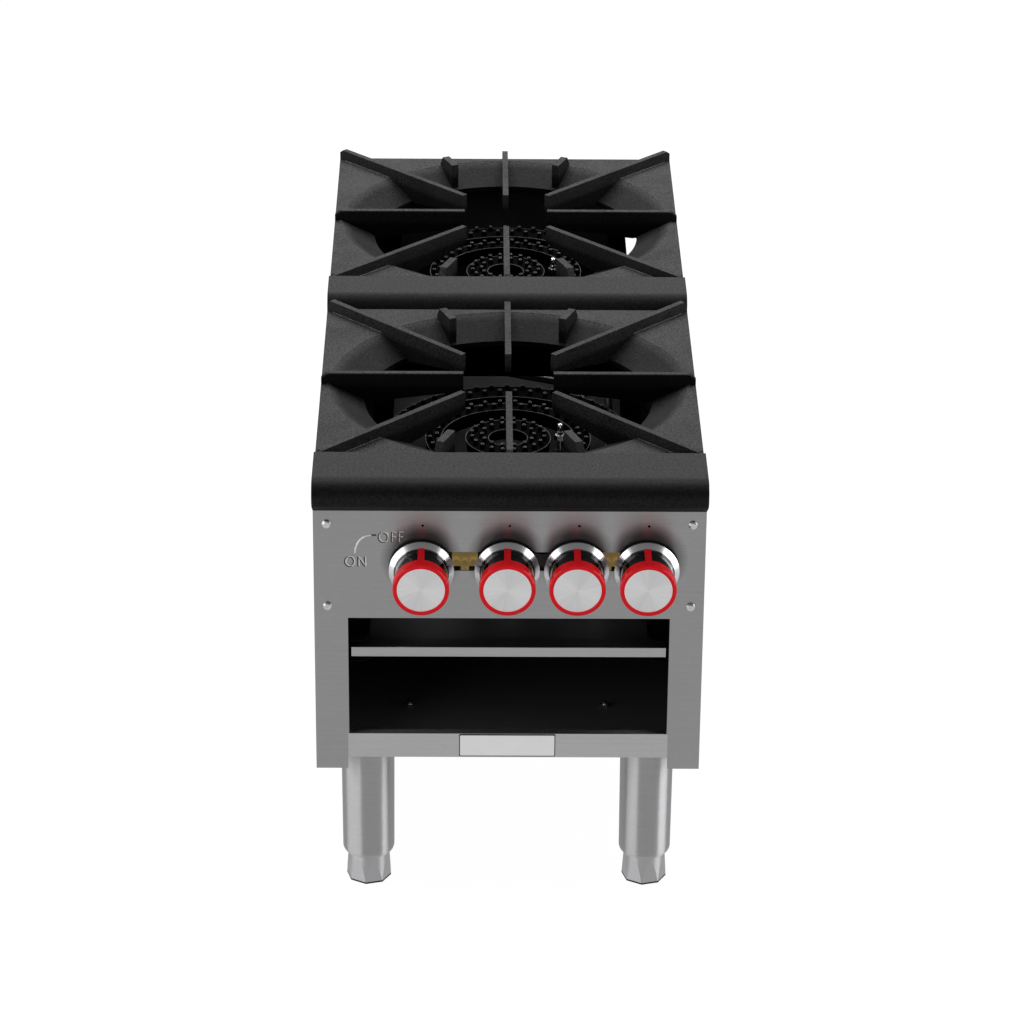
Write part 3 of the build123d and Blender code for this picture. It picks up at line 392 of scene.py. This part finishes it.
# a cross rib's top stays clear of the painted shade over this height
UNSHADED_TOP = 0.0014
BOWL_START, BOWL_SOFT = 0.003, 0.006
# the share of tone that painted shade takes in the bowls and on the cross ribs
BOWL_SHADE, CROSS_RIB_SHADE = 0.60, 0.75
GRATE_LOW, GRATE_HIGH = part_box("front_grate")
GRATE_TOP = GRATE_HIGH.z
PLATE_TOP = GRATE_TOP - RIB_OVER_PLATE
GRATE_MIDDLES = [(low.y + high.y) / 2 for low, high in (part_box("front_grate"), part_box("rear_grate"))]


def clear_of_shade(recipe):
    """The share of its tone that a grate keeps under its painted shade."""
    height = recipe.axis("Z")
    in_bowl = 1 - height.above(PLATE_TOP - BOWL_START, BOWL_SOFT)
    on_cross_rib = 0.0
    for middle in GRATE_MIDDLES:
        aside = (recipe.axis("Y") - middle).math("ABSOLUTE")
        on_cross_rib = (1 - aside.above(RIB_HALF + RIB_MARGIN, 0.0004)).math("MAXIMUM", on_cross_rib)
    under_top = 1 - height.above(GRATE_TOP - UNSHADED_TOP, 0.0008)
    return (1.0 - in_bowl * BOWL_SHADE) * (1.0 - on_cross_rib * under_top * CROSS_RIB_SHADE)


def cast_iron(name, tone, sand=0.00022, scale=700.0, gloss=0.10, shine=0.0, clear=None):
    """Sandy casting. sand is the depth of its relief, and clear a mask of what painted shade spares."""
    recipe = Recipe(name, Specular_IOR_Level=gloss)
    coarse = recipe.noise(scale, detail=5.0, roughness=0.6)
    cloud = recipe.noise(18.0, detail=4.0)
    dust = recipe.noise(scale * 2.3, detail=1.0).above(0.62, 0.08)
    level = tone * (0.45 + (coarse - 0.5) * 2.4 + cloud * 0.6 + dust * 0.7)
    if clear:
        level = level * clear(recipe)
    recipe.paint(Base_Color=recipe.tone(level, 1.03), Roughness=0.66 - shine + (coarse - 0.5) * 0.18)
    recipe.bump(coarse, sand)
    materials[name] = recipe.material


cast_iron("grate_iron", 0.036, scale=420.0, gloss=0.03, clear=clear_of_shade)
cast_iron("burner_iron", 0.0030, sand=0.00030, scale=900.0, gloss=0.0)
# inner steel is painted near black, as the shade inside the cabinet
cast_iron("inner_steel", 0.0060, sand=0.00005, gloss=0.01)
print(f"cast iron, with bowls below z = {PLATE_TOP:.4f}")

# %% [markdown]
# ## Pipes, tubes, brass and small steel
#
# Turned and drawn metals could each have a material of their own, but they differ only in
# colour and in how fine and how stained they are, so one function makes them all: the
# black pipe is scaly, brass is machined and a little stained, and the thin tubes are
# drawn aluminium. The brass sits in a dark slot and gets a little light of its own.

# %%
def turned_metal(name, color, roughness, marks=1400.0, stain=0.25, metallic=1.0, lift=0.0):
    """Turned or drawn metal. marks is how fine its marks are, and lift a light of its own."""
    recipe = Recipe(name, Metallic=metallic, Emission_Strength=lift)
    fine = recipe.noise(marks, detail=2.0)
    cloud = recipe.noise(60.0, detail=4.0)
    stained = tuple(channel * (1 - stain) for channel in color)
    tint = recipe.mix(cloud.above(0.5, 0.5), stained, color)
    recipe.paint(Base_Color=tint, Roughness=roughness + (cloud - 0.5) * 0.15)
    if lift:
        recipe.paint(Emission_Color=tint)
    recipe.bump(fine, 0.00003)
    materials[name] = recipe.material


turned_metal("brass", (0.95, 0.68, 0.26), 0.30, metallic=0.55, lift=0.15)
turned_metal("black_pipe", (0.045, 0.046, 0.050), 0.50, marks=500.0, stain=0.4, metallic=0.3)
turned_metal("aluminium_tube", (0.10, 0.10, 0.105), 0.42)
turned_metal("plated_steel", (0.42, 0.42, 0.40), 0.38)
turned_metal("pilot_steel", (0.62, 0.62, 0.63), 0.20)
turned_metal("screw_steel", (0.90, 0.90, 0.90), 0.30)
turned_metal("stem_steel", (0.55, 0.55, 0.55), 0.30)
print(f"{len(materials)} materials so far")

# %% [markdown]
# ## Feet
#
# A foot is turned steel and shows upright bands, as the legs do, so it has the same turned
# anisotropy. Its lowest few millimetres are black, told apart by their height over the floor.

# %%
FOOT_BLACK_BAND = 0.0022


def foot_steel():
    """Turned steel, black over its lowest few millimetres."""
    recipe = Recipe("foot_steel", Anisotropic=0.9, Anisotropic_Rotation=QUARTER_TURN)
    fine = recipe.noise(900.0, detail=2.0)
    steel = recipe.axis("Z").above(FOOT_BLACK_BAND)
    recipe.paint(Base_Color=recipe.mix(steel, grey(0.008), grey(0.62)), Metallic=steel,
                 Roughness=0.60 - steel * 0.22 + (fine - 0.5) * 0.08)
    recipe.bump(fine, 0.00002)
    materials["foot_steel"] = recipe.material


foot_steel()
print(f"feet are steel from {FOOT_BLACK_BAND * 1000:.1f} mm up")

# %% [markdown]
# ## Chrome bodies of the knobs
#
# The body is spun and chromed: nearly a mirror, with faint turning rings. Its barrel
# mirrors the dark side of the room and its flared skirt the lamps, and this reflection is
# painted into the colour: the skirt bright and the barrel dark. The rings are a wave of
# the distance from the knob's own axis, which comes from the box of its face.

# %%
RING_WAVE = 9000.0
WOBBLE = 3000.0
SKIRT_START = 0.0323


def from_axis(recipe, number):
    """Distance from the axis of a knob."""
    return recipe.reach(KNOB_MIDDLES[number - 1].x, KNOB_HEIGHT)


def turning_rings(recipe, reach):
    """Fine rings round the axis, a little uneven, 0 to 1."""
    wobble = recipe.noise(1.0, detail=2.0, vector=recipe.join(reach * WOBBLE, 0.0, 0.0))
    return (reach * RING_WAVE).math("SINE") * 0.25 + 0.25 + wobble * 0.5


def chrome(number):
    """Chrome of one knob: a bright skirt, and a barrel painted dark as its reflection."""
    recipe = Recipe(f"knob_chrome_{number}", Metallic=1.0)
    reach = from_axis(recipe, number)
    smudge = recipe.noise(90.0)
    skirt = reach.above(SKIRT_START, 0.0003)
    # painted reflection: the barrel's colour is dark, the skirt's bright
    barrel = recipe.mix(smudge, grey(0.10), grey(0.16))
    recipe.paint(Base_Color=recipe.mix(skirt, barrel, grey(0.94)),
                 Roughness=0.08 + smudge * 0.06 + skirt * 0.14)
    recipe.bump(turning_rings(recipe, reach), 0.000004)
    materials[f"knob_body_{number}"] = recipe.material


for number in KNOBS:
    chrome(number)
print(f"chrome for {len(KNOBS)} knobs")

# %% [markdown]
# ## Spun faces of the knobs
#
# The face is a disc with concentric lines. Every short stretch of line spreads light
# across itself, so a real disc shows bright fans that meet in its middle. The relief of
# the lines gives part of this, and two waves of the angle round the axis, one even and
# one broken into streaks, paint the rest in as highlight. A thin edge, painted bright as
# a highlight, closes the disc.

# %%
DISC_EDGE = 0.0271
STREAK_SEED = 3.1


def spun_disc(number):
    """Face of one knob, with its own streaks."""
    recipe = Recipe(f"knob_face_{number}", Metallic=1.0)
    reach = from_axis(recipe, number)
    rings = turning_rings(recipe, reach)
    height = recipe.axis("Z") - KNOB_HEIGHT
    angle = height.math("ARCTAN2", recipe.axis("X") - KNOB_MIDDLES[number - 1].x)
    # painted highlight: fans and streaks by the angle, and a bright edge
    fans = (angle * 2.0 + 0.6).math("COSINE") * 0.5 + 0.5
    streaks = recipe.noise(1.0, roughness=0.7,
                           vector=recipe.join(angle * 5.0, 0.0, number * STREAK_SEED))
    edge = reach.above(DISC_EDGE, 0.0004)
    level = 0.92 + (rings - 0.5) * 0.10 + (fans - 0.5) * 0.10 + (streaks - 0.5) * 0.22 + edge * 0.30
    dull = recipe.noise(120.0, detail=2.0)
    recipe.paint(Base_Color=recipe.tone(level.math("MINIMUM", 1.0), 1.01),
                 Roughness=0.42 + dull * 0.08 - edge * 0.15)
    recipe.bump(rings, 0.00005)
    materials[f"knob_face_{number}"] = recipe.material


for number in KNOBS:
    spun_disc(number)
print(f"spun faces for {len(KNOBS)} knobs")

# %% [markdown]
# ## Red rings of the knobs
#
# The ring and its pointer are one glossy red moulding. A clear coat over the red gives
# the sharp highlight, and a trace of its own light keeps the red deep where the moulding
# mirrors nothing but the dark underside of the ledge.

# %%
def red_gloss():
    """Glossy red moulding."""
    recipe = Recipe("knob_red", Coat_Weight=0.25, Coat_Roughness=0.06, Specular_IOR_Level=0.12,
                    Emission_Strength=0.10)
    cloud = recipe.noise(50.0, detail=2.0)
    light_red = (1.0, 0.010, 0.020)
    recipe.paint(Base_Color=recipe.mix(cloud, (0.92, 0.006, 0.012), light_red),
                 Emission_Color=recipe.mix(cloud, (0.85, 0.004, 0.010), light_red),
                 Roughness=0.26 + cloud * 0.10)
    recipe.bump(recipe.noise(600.0, detail=2.0), 0.00001)
    materials["knob_red"] = recipe.material


red_gloss()
print("red for the rings and pointers")

# %% [markdown]
# ## Handing the surfaces out
#
# Every solid piece takes the material that is named after its slot in the record. Pieces
# with a material of their own are named here: the sheets with an inside of painted shade,
# the ledges, the knobs, which need their own axis, and two pilot pieces by the flames,
# which take the near-black inner steel.

# %%
own_surface = {
    "left_side_panel": "side_steel", "right_side_panel": "side_steel",
    "control_panel": "panel_steel", "cabinet_floor": "rail_steel", "back_panel": "back_steel",
    "front_ledge": "front_ledge_enamel", "middle_ledge": "middle_ledge_enamel",
    "pilot_tubes": "inner_steel", "pilot_brackets": "inner_steel",
}
for node, slot in slot_of.items():
    name = node if node in materials else own_surface.get(node, slot)
    mesh = nodes[node].data
    mesh.materials.clear()
    mesh.materials.append(materials[name])
print(f"dressed {len(slot_of)} solid pieces")

# %% [markdown]
# ## Thin tubes through points
#
# Strokes and lit edges are all thin round tubes along a line. A curve with a round
# thickness gives such a tube from a few points, and its mesh is kept in place of the
# curve, so that the export gets a plain mesh.

# %%
def thin_tubes(name, paths, radius, roundness, material, closed=False):
    """One piece made of tubes, one along each path of points."""
    curve = bpy.data.curves.new(name, "CURVE")
    curve.dimensions = "3D"
    curve.bevel_depth = radius
    curve.bevel_resolution = roundness
    for path in paths:
        line = curve.splines.new("POLY")
        line.points.add(len(path) - 1)
        for point, spot in zip(line.points, path):
            point.co = (*spot, 1.0)
        line.use_cyclic_u = closed
    tube = bpy.data.objects.new(name, curve)
    mesh = bpy.data.meshes.new_from_object(tube)
    bpy.data.objects.remove(tube)
    mesh.materials.append(material)
    piece = bpy.data.objects.new(name, mesh)
    bpy.context.collection.objects.link(piece)
    return piece


print("tubes can be drawn through points")

# %% [markdown]
# ## The stamped legend beside the first knob
#
# ON, OFF and the arc between them are pressed into the sheet, so that each stroke has a
# lit bank and a shaded bank side by side. Cutting the strokes into the panel would take
# many faces for a groove thinner than the sheet. Two flat tubes make one stroke: one
# painted bright as highlight, and one painted dark as shade, shifted a little to the left
# and down.

# %%
BANK = 0.00105
BANK_SHIFT = 0.0013
BANK_FLATNESS = 0.30
banks = []


def bank(name, points, closed, material):
    """One flat tube through (x, z) points on the panel."""
    path = [(x, 0.0, z) for x, z in points]
    piece = thin_tubes(name, [path], BANK, 3, materials[material], closed)
    piece.scale.y = BANK_FLATNESS
    piece.location.y = PANEL_FACE
    banks.append(piece)
    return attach(piece, "cabinet")


def stroke(name, points, closed=False):
    """A bank painted bright as highlight, with its bank painted dark as shade."""
    bank(name, points, closed, "legend_light")
    shifted = [(x - BANK_SHIFT, z - BANK_SHIFT * 0.5) for x, z in points]
    bank(name + "_dark", shifted, closed, "legend_dark")


# the two tones are painted highlight and painted shade
turned_metal("legend_light", (0.88, 0.88, 0.89), 0.34, marks=900.0, stain=0.10)
turned_metal("legend_dark", (0.09, 0.09, 0.09), 0.40, marks=900.0, stain=0.15)
print("two tones for the strokes of the legend")

# %% [markdown]
# ## ON, OFF and the arc
#
# ON stands low at the left, OFF high at the right, and a quarter arc leads from one to
# the other. All places are measured from the axis of the first knob.

# %%
LETTER_HIGH, LETTER_WIDE = 0.0125, 0.0103
ring_low, ring_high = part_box("knob_ring_1")
AXIS_X = (ring_low.x + ring_high.x) / 2


def letter_o(name, middle, foot, count=28):
    """An upright oval on its foot line."""
    turns = [2 * pi * i / count for i in range(count)]
    points = [(middle + LETTER_WIDE / 2 * cos(turn), foot + LETTER_HIGH / 2 * (1 + sin(turn)))
              for turn in turns]
    stroke(name, points, closed=True)


def letter_f(name, stem, foot, top_long=0.0046, bar_long=0.0042):
    """A stem with a bar at its top and one at half its height."""
    top, half = foot + LETTER_HIGH, foot + LETTER_HIGH / 2
    stroke(name + "_stem", [(stem, foot), (stem, top)])
    stroke(name + "_top", [(stem, top), (stem + top_long, top)])
    stroke(name + "_bar", [(stem, half), (stem + bar_long, half)])


def letter_n(name, left, right, foot):
    """Two stems and the slant between them."""
    top = foot + LETTER_HIGH
    stroke(name + "_left", [(left, foot), (left, top)])
    stroke(name + "_right", [(right, foot), (right, top)])
    stroke(name + "_slant", [(left, top), (right, foot)])


def arc(x, z, wide, high, tail):
    """A quarter arc from its left foot to its top, with a short tail of painted shade to the right."""
    turns = [radians(degree) for degree in range(0, 91, 6)]
    points = [(x - wide * cos(turn), z + high * sin(turn)) for turn in turns]
    bank("legend_arc", points, False, "legend_light")
    bank("legend_arc_end", [(x, z + high), (x + tail, z + high)], False, "legend_dark")


off_foot, on_foot = KNOB_HEIGHT + 0.0350, KNOB_HEIGHT + 0.0035
letter_o("legend_off_o", AXIS_X - 0.0435, off_foot)
letter_f("legend_off_f0", AXIS_X - 0.0334, off_foot)
letter_f("legend_off_f1", AXIS_X - 0.0254, off_foot)
letter_o("legend_on_o", AXIS_X - 0.0829, on_foot)
letter_n("legend_on_n", AXIS_X - 0.0726, AXIS_X - 0.0648, on_foot)
arc(AXIS_X - 0.0582, KNOB_HEIGHT + 0.0200, wide=0.0190, high=0.0235, tail=0.0060)
print(f"legend in {len(banks)} banks")

# %% [markdown]
# ## A bare plate on the lower rail
#
# The rail carries a thin plate: a bright face inside a dark line. A cube with rounded
# edges would round all twelve of them alike. Here the outline is drawn with its round
# corners and pushed out, and a fine bevel softens the rest.

# %%
def rounded_plate(name, x0, x1, z0, z1, y, thick, corner, bevel, material):
    """A thin upright plate with round corners, its back at y."""
    shape = bmesh.new()
    outline = []
    for x, z, start in ((x1 - corner, z1 - corner, 0), (x0 + corner, z1 - corner, 90),
                        (x0 + corner, z0 + corner, 180), (x1 - corner, z0 + corner, 270)):
        for turn in range(0, 91, 15):
            angle = radians(start + turn)
            outline.append(shape.verts.new((x + corner * cos(angle), y, z + corner * sin(angle))))
    back = shape.faces.new(outline)
    front = bmesh.ops.extrude_face_region(shape, geom=[back])
    moved = [item for item in front["geom"] if isinstance(item, bmesh.types.BMVert)]
    bmesh.ops.translate(shape, verts=moved, vec=(0, -thick, 0))
    bmesh.ops.recalc_face_normals(shape, faces=shape.faces)
    mesh = bpy.data.meshes.new(name)
    shape.to_mesh(mesh)
    shape.free()
    mesh.materials.append(material)
    piece = bpy.data.objects.new(name, mesh)
    bpy.context.collection.objects.link(piece)
    rounding = piece.modifiers.new("edge", "BEVEL")
    rounding.width = bevel
    rounding.segments = 2
    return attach(piece, "cabinet")


PLATE_LEFT, PLATE_RIGHT, PLATE_HIGH = -0.0583, 0.0565, 0.0297
PLATE_THICK, FACE_THICK = 0.0008, 0.0002
DARK_LINE = 0.0011
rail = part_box("cabinet_floor")[0]
plate_foot = rail.z + 0.0015
plate_top = plate_foot + PLATE_HIGH
turned_metal("plate_edge", (0.05, 0.05, 0.05), 0.4)
# the face gives off a little light of its own: painted light
turned_metal("plate_face", (0.90, 0.90, 0.91), 0.36, marks=900.0, stain=0.06, lift=0.10)
rounded_plate("bare_plate", PLATE_LEFT, PLATE_RIGHT, plate_foot, plate_top, rail.y,
              thick=PLATE_THICK, corner=0.0015, bevel=0.0003, material=materials["plate_edge"])
rounded_plate("bare_plate_face", PLATE_LEFT + DARK_LINE, PLATE_RIGHT - DARK_LINE,
              plate_foot + DARK_LINE, plate_top - DARK_LINE, rail.y - PLATE_THICK,
              thick=FACE_THICK, corner=0.0012, bevel=0.00008, material=materials["plate_face"])
print(f"bare plate on the rail, {(PLATE_RIGHT - PLATE_LEFT) * 1000:.1f} mm wide")

# %% [markdown]
# ## Mouths of the burner ports
#
# Each raised port of the burner rings is a little chimney. Boring every one of them would
# make the solids heavy, and an array of copies would export as hundreds of pieces. One
# mesh per casting holds, on every solid stub, a shinier rim painted lighter as glint round
# a dark disc of painted shade that stands for the hole.

# %%
# For each row of ports: its radius, its count, and where its first port lies, in steps.
PORT_ROWS = {"inner": ((0.0320, 14, 0.0), (0.0445, 20, 0.5)),
             "outer": ((0.0870, 32, 0.0), (0.0960, 32, 0.5), (0.1285, 42, 0.0), (0.1435, 46, 0.5))}
# From outside to inside: how far the rim lies from the port's axis, and how high over its top.
RIM_PROFILE = ((0.00245, -0.0003), (0.00215, 0.0002), (0.00175, 0.0002), (0.00140, -0.0001))
RIM_SIDES = 10
ENDS = dict(zip(("front", "rear"), GRATE_MIDDLES))


def circle(middle, radius, count, start=0.0):
    """Points on a level circle. start turns it by that share of a step."""
    turns = [2 * pi * (i + start) / count for i in range(count)]
    return [middle + Vector((radius * cos(turn), radius * sin(turn), 0.0)) for turn in turns]


def port_mouths(node, middle_y, rows):
    """One mesh with a rim painted lighter as glint round a disc of painted shade for the hole, on every
    port of a burner casting.
    """
    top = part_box(node)[1].z
    shape = bmesh.new()
    for radius, count, start in rows:
        for spot in circle(Vector((0.0, middle_y, top)), radius, count, start):
            rings = []
            for reach, rise in RIM_PROFILE:
                level = circle(spot + Vector((0.0, 0.0, rise)), reach, RIM_SIDES)
                rings.append([shape.verts.new(point) for point in level])
            for outer, inner in zip(rings, rings[1:]):
                for k in range(RIM_SIDES):
                    after = (k + 1) % RIM_SIDES
                    wall = shape.faces.new((outer[k], outer[after], inner[after], inner[k]))
                    wall.smooth = True
            hole = shape.faces.new(rings[-1])
            hole.material_index = 1
    mesh = bpy.data.meshes.new(node + "_mouths")
    shape.to_mesh(mesh)
    shape.free()
    mesh.materials.append(materials["port_rim"])
    mesh.materials.append(materials["soot"])
    piece = bpy.data.objects.new(node + "_mouths", mesh)
    bpy.context.collection.objects.link(piece)
    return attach(piece, "cabinet")


# port rims are painted lighter as glint, and the hole discs dark as painted shade
cast_iron("port_rim", 0.060, sand=0.00010, scale=900.0, shine=0.30)
cast_iron("soot", 0.004)
for end, middle_y in ENDS.items():
    for ring, rows in PORT_ROWS.items():
        port_mouths(f"{end}_{ring}_burner", middle_y, rows)
print("port mouths on four castings")

# %% [markdown]
# ## Small rounds of the grates
#
# Where a rib or a finger meets the plate and the bowl, the casting has a small round that
# catches the light. Rounding those edges of the solid would cost many faces. A thin tube,
# half sunk in the iron, shows the same lit line, and each grate carries its own tubes.

# %%
RIB_END = 0.014
HALF_GRATE = (GRATE_HIGH.x - GRATE_LOW.x) / 2
BOWL_EDGE, BOWL_REACH, BOWL_DROP = 0.0075, 0.0430, 0.0210
BOWL_RADIUS = HALF_GRATE - BOWL_EDGE
HOLE_RADIUS = BOWL_RADIUS - BOWL_REACH
FINGER_HALF, FINGER_ANGLE = 0.00475, 67.5
FILLET = 0.0009


def foot_of_rib(middle_y, angle, half, outer):
    """Both foot lines of a rib or finger, on the plate and down the bowl."""
    ahead = Vector((cos(radians(angle)), sin(radians(angle)), 0))
    aside = Vector((-ahead.y, ahead.x, 0))
    places = ((outer, PLATE_TOP), (BOWL_RADIUS, PLATE_TOP), (HOLE_RADIUS, PLATE_TOP - BOWL_DROP))
    paths = []
    for side in (-half, half):
        start = Vector((0, middle_y, 0)) + aside * side
        path = [start + ahead * reach + Vector((0, 0, level)) for reach, level in places]
        paths.append(path if outer > BOWL_RADIUS else path[1:])
    return paths


def grate_fillets(end, middle_y):
    """The lit lines at the feet of eight ribs and four fingers."""
    lines = []
    for step in range(8):
        edge = HALF_GRATE * (2 ** 0.5 if step % 2 else 1)
        lines += foot_of_rib(middle_y, 45 * step, RIB_HALF, edge - RIB_END)
    for angle in (FINGER_ANGLE, 180 - FINGER_ANGLE, 180 + FINGER_ANGLE, -FINGER_ANGLE):
        lines += foot_of_rib(middle_y, angle, FINGER_HALF, BOWL_RADIUS)
    piece = thin_tubes(f"{end}_grate_fillets", lines, FILLET, 1, materials["cast_fillet"])
    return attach(piece, f"{end}_grate")


cast_iron("cast_fillet", 0.15, sand=0.00005)
print(f"bowls narrow from {BOWL_RADIUS * 1000:.0f} mm to {HOLE_RADIUS * 1000:.0f} mm in radius")

# %% [markdown]
# ## Lit edges of the burner rings
#
# The edges of the burner rings catch the light and draw thin grey circles in the dark
# bowl, painted in as highlight. They are tubes too, finer than those of the grates, and
# stay with the cabinet when a grate is lifted.

# %%
PORT_RISE = 0.0065
LIT_EDGE_RADIUS = 0.0005
RING_EDGES = {"inner": (0.0240, 0.0520), "outer": (0.0820, 0.1010, 0.1210, 0.1520)}


def ring_edges(end, ring, middle_y, radii):
    """A thin circle of painted highlight along every edge of a burner's rings."""
    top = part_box(f"{end}_{ring}_burner")[1].z - PORT_RISE
    circles = [circle(Vector((0.0, middle_y, top)), radius, 72) for radius in radii]
    piece = thin_tubes(f"{end}_{ring}_burner_edges", circles, LIT_EDGE_RADIUS, 1,
                       materials["worn_edge"], closed=True)
    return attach(piece, "cabinet")


# the edge lines are painted lighter as highlight
cast_iron("worn_edge", 0.055, sand=0.00005)
for end, middle_y in ENDS.items():
    grate_fillets(end, middle_y)
    for ring, radii in RING_EDGES.items():
        ring_edges(end, ring, middle_y, radii)
print("lit lines on two grates and four burner castings")

# %% [markdown]
# ## Floor and world
#
# A white floor under plain light would throw much of it back at the object and fill its
# shadows. So the floor is a mid grey for the light, while the camera sees it almost white,
# and shiny metal sees a lighter grey. What is left of the true floor keeps the shadow. The
# world does the same: it is pale to the camera and lights the object only weakly.

# %%
WHITE_IN_VIEW, GREY_IN_METAL = 1.16, 0.60
WHITE_SHARE = 0.85
FLOOR_REACH = 15.0
WORLD_LIGHT = 0.15
WORLD_IN_VIEW = 0.8


def floor():
    """A wide plain floor."""
    corners = [(x * FLOOR_REACH, y * FLOOR_REACH, 0) for x, y in ((-1, -1), (1, -1), (1, 1), (-1, 1))]
    mesh = bpy.data.meshes.new("floor")
    mesh.from_pydata(corners, [], [(0, 1, 2, 3)])
    recipe = Recipe("floor", Base_Color=grey(0.18), Roughness=0.9)
    shader = Wire(recipe, recipe.shader.outputs[0])
    for ray, share, level in (("Is Glossy Ray", 1.0, GREY_IN_METAL),
                              ("Is Camera Ray", WHITE_SHARE, WHITE_IN_VIEW)):
        seen = recipe.add("LightPath", out=ray) * share
        plain = recipe.add("Emission", inputs={"Strength": level})
        shader = recipe.add("MixShader", inputs={0: seen, 1: shader, 2: plain})
    recipe.show(shader)
    mesh.materials.append(recipe.material)
    piece = bpy.data.objects.new("floor", mesh)
    bpy.context.collection.objects.link(piece)


def world():
    """A weak even light that the camera sees as a pale backdrop."""
    studio = bpy.data.worlds.new("studio")
    bpy.context.scene.world = studio
    studio.use_nodes = True
    sky = Graph(studio.node_tree)
    light = sky.add("Background", inputs={"Color": (1.0, 1.0, 1.0), "Strength": WORLD_LIGHT})
    pale = sky.add("Background", inputs={"Color": (WORLD_IN_VIEW,) * 3, "Strength": 1.0})
    seen = sky.add("LightPath", out="Is Camera Ray")
    sky.show(sky.add("MixShader", inputs={0: seen, 1: light, 2: pale}))


floor()
world()
print(f"floor of {2 * FLOOR_REACH:.0f} m and a world of {WORLD_LIGHT} in strength")

# %% [markdown]
# ## Lamps
#
# One wide lamp overhead does most of the lighting: the tops are grey and the upright
# faces almost black. It hangs well to the back, so that the tops catch it at a slant. Two
# weaker panels stand at the sides, low enough to draw the bright bands down the legs and
# the sides of the knobs. The camera doesn't see the lamps themselves.

# %%
def soft_lamp(name, place, target, wide, high, watts):
    """A rectangular area lamp that points at its target."""
    lamp = bpy.data.lights.new(name, "AREA")
    lamp.shape = "RECTANGLE"
    lamp.size, lamp.size_y = wide, high
    lamp.energy = watts
    piece = bpy.data.objects.new(name, lamp)
    piece.location = place
    piece.rotation_euler = (Vector(target) - Vector(place)).to_track_quat("-Z", "Y").to_euler()
    piece.visible_camera = False
    bpy.context.collection.objects.link(piece)


REAR_TOP, FRONT_TOP = (0, 0.4, 0.5), (0, -0.45, 0.9)
soft_lamp("overhead", (0.0, 1.25, 2.6), REAR_TOP, wide=2.4, high=2.4, watts=178)
soft_lamp("left_panel", (-2.0, -1.34, 1.0), FRONT_TOP, wide=2.9, high=1.9, watts=27)
soft_lamp("right_panel", (2.15, -0.90, 1.0), FRONT_TOP, wide=1.45, high=1.9, watts=22)
print("three lamps")

# %% [markdown]
# ## Camera
#
# The camera stands almost five metres in front and looks down by 26 degrees with a long
# lens. Its place and angles come from a fit to the straight edges of the photograph.

# %%
CAMERA_PLACE = Vector((-0.04394, -4.69294, 2.58135))
LOOK_DOWN = 0.456769
LOOK_ASIDE = 0.011094
LEAN = -0.008505
LENS = 141.464
SENSOR = 36.0


def camera():
    """Looks ahead, a little aside and down, and leans by a hair."""
    ahead = Vector((sin(LOOK_ASIDE) * cos(LOOK_DOWN), cos(LOOK_ASIDE) * cos(LOOK_DOWN),
                    -sin(LOOK_DOWN)))
    level = Vector((cos(LOOK_ASIDE), -sin(LOOK_ASIDE), 0))
    down = ahead.cross(level)
    right = cos(LEAN) * level + sin(LEAN) * down
    below = cos(LEAN) * down - sin(LEAN) * level
    turn = Matrix((right, -below, -ahead)).transposed()
    lens = bpy.data.cameras.new("camera")
    lens.sensor_width = SENSOR
    lens.lens = LENS
    lens.clip_end = 60.0
    piece = bpy.data.objects.new("camera", lens)
    piece.matrix_world = Matrix.Translation(CAMERA_PLACE) @ turn.to_4x4()
    bpy.context.collection.objects.link(piece)
    bpy.context.scene.camera = piece


camera()
bpy.context.scene.view_settings.view_transform = "Standard"
print("camera at", tuple(round(v, 3) for v in CAMERA_PLACE))
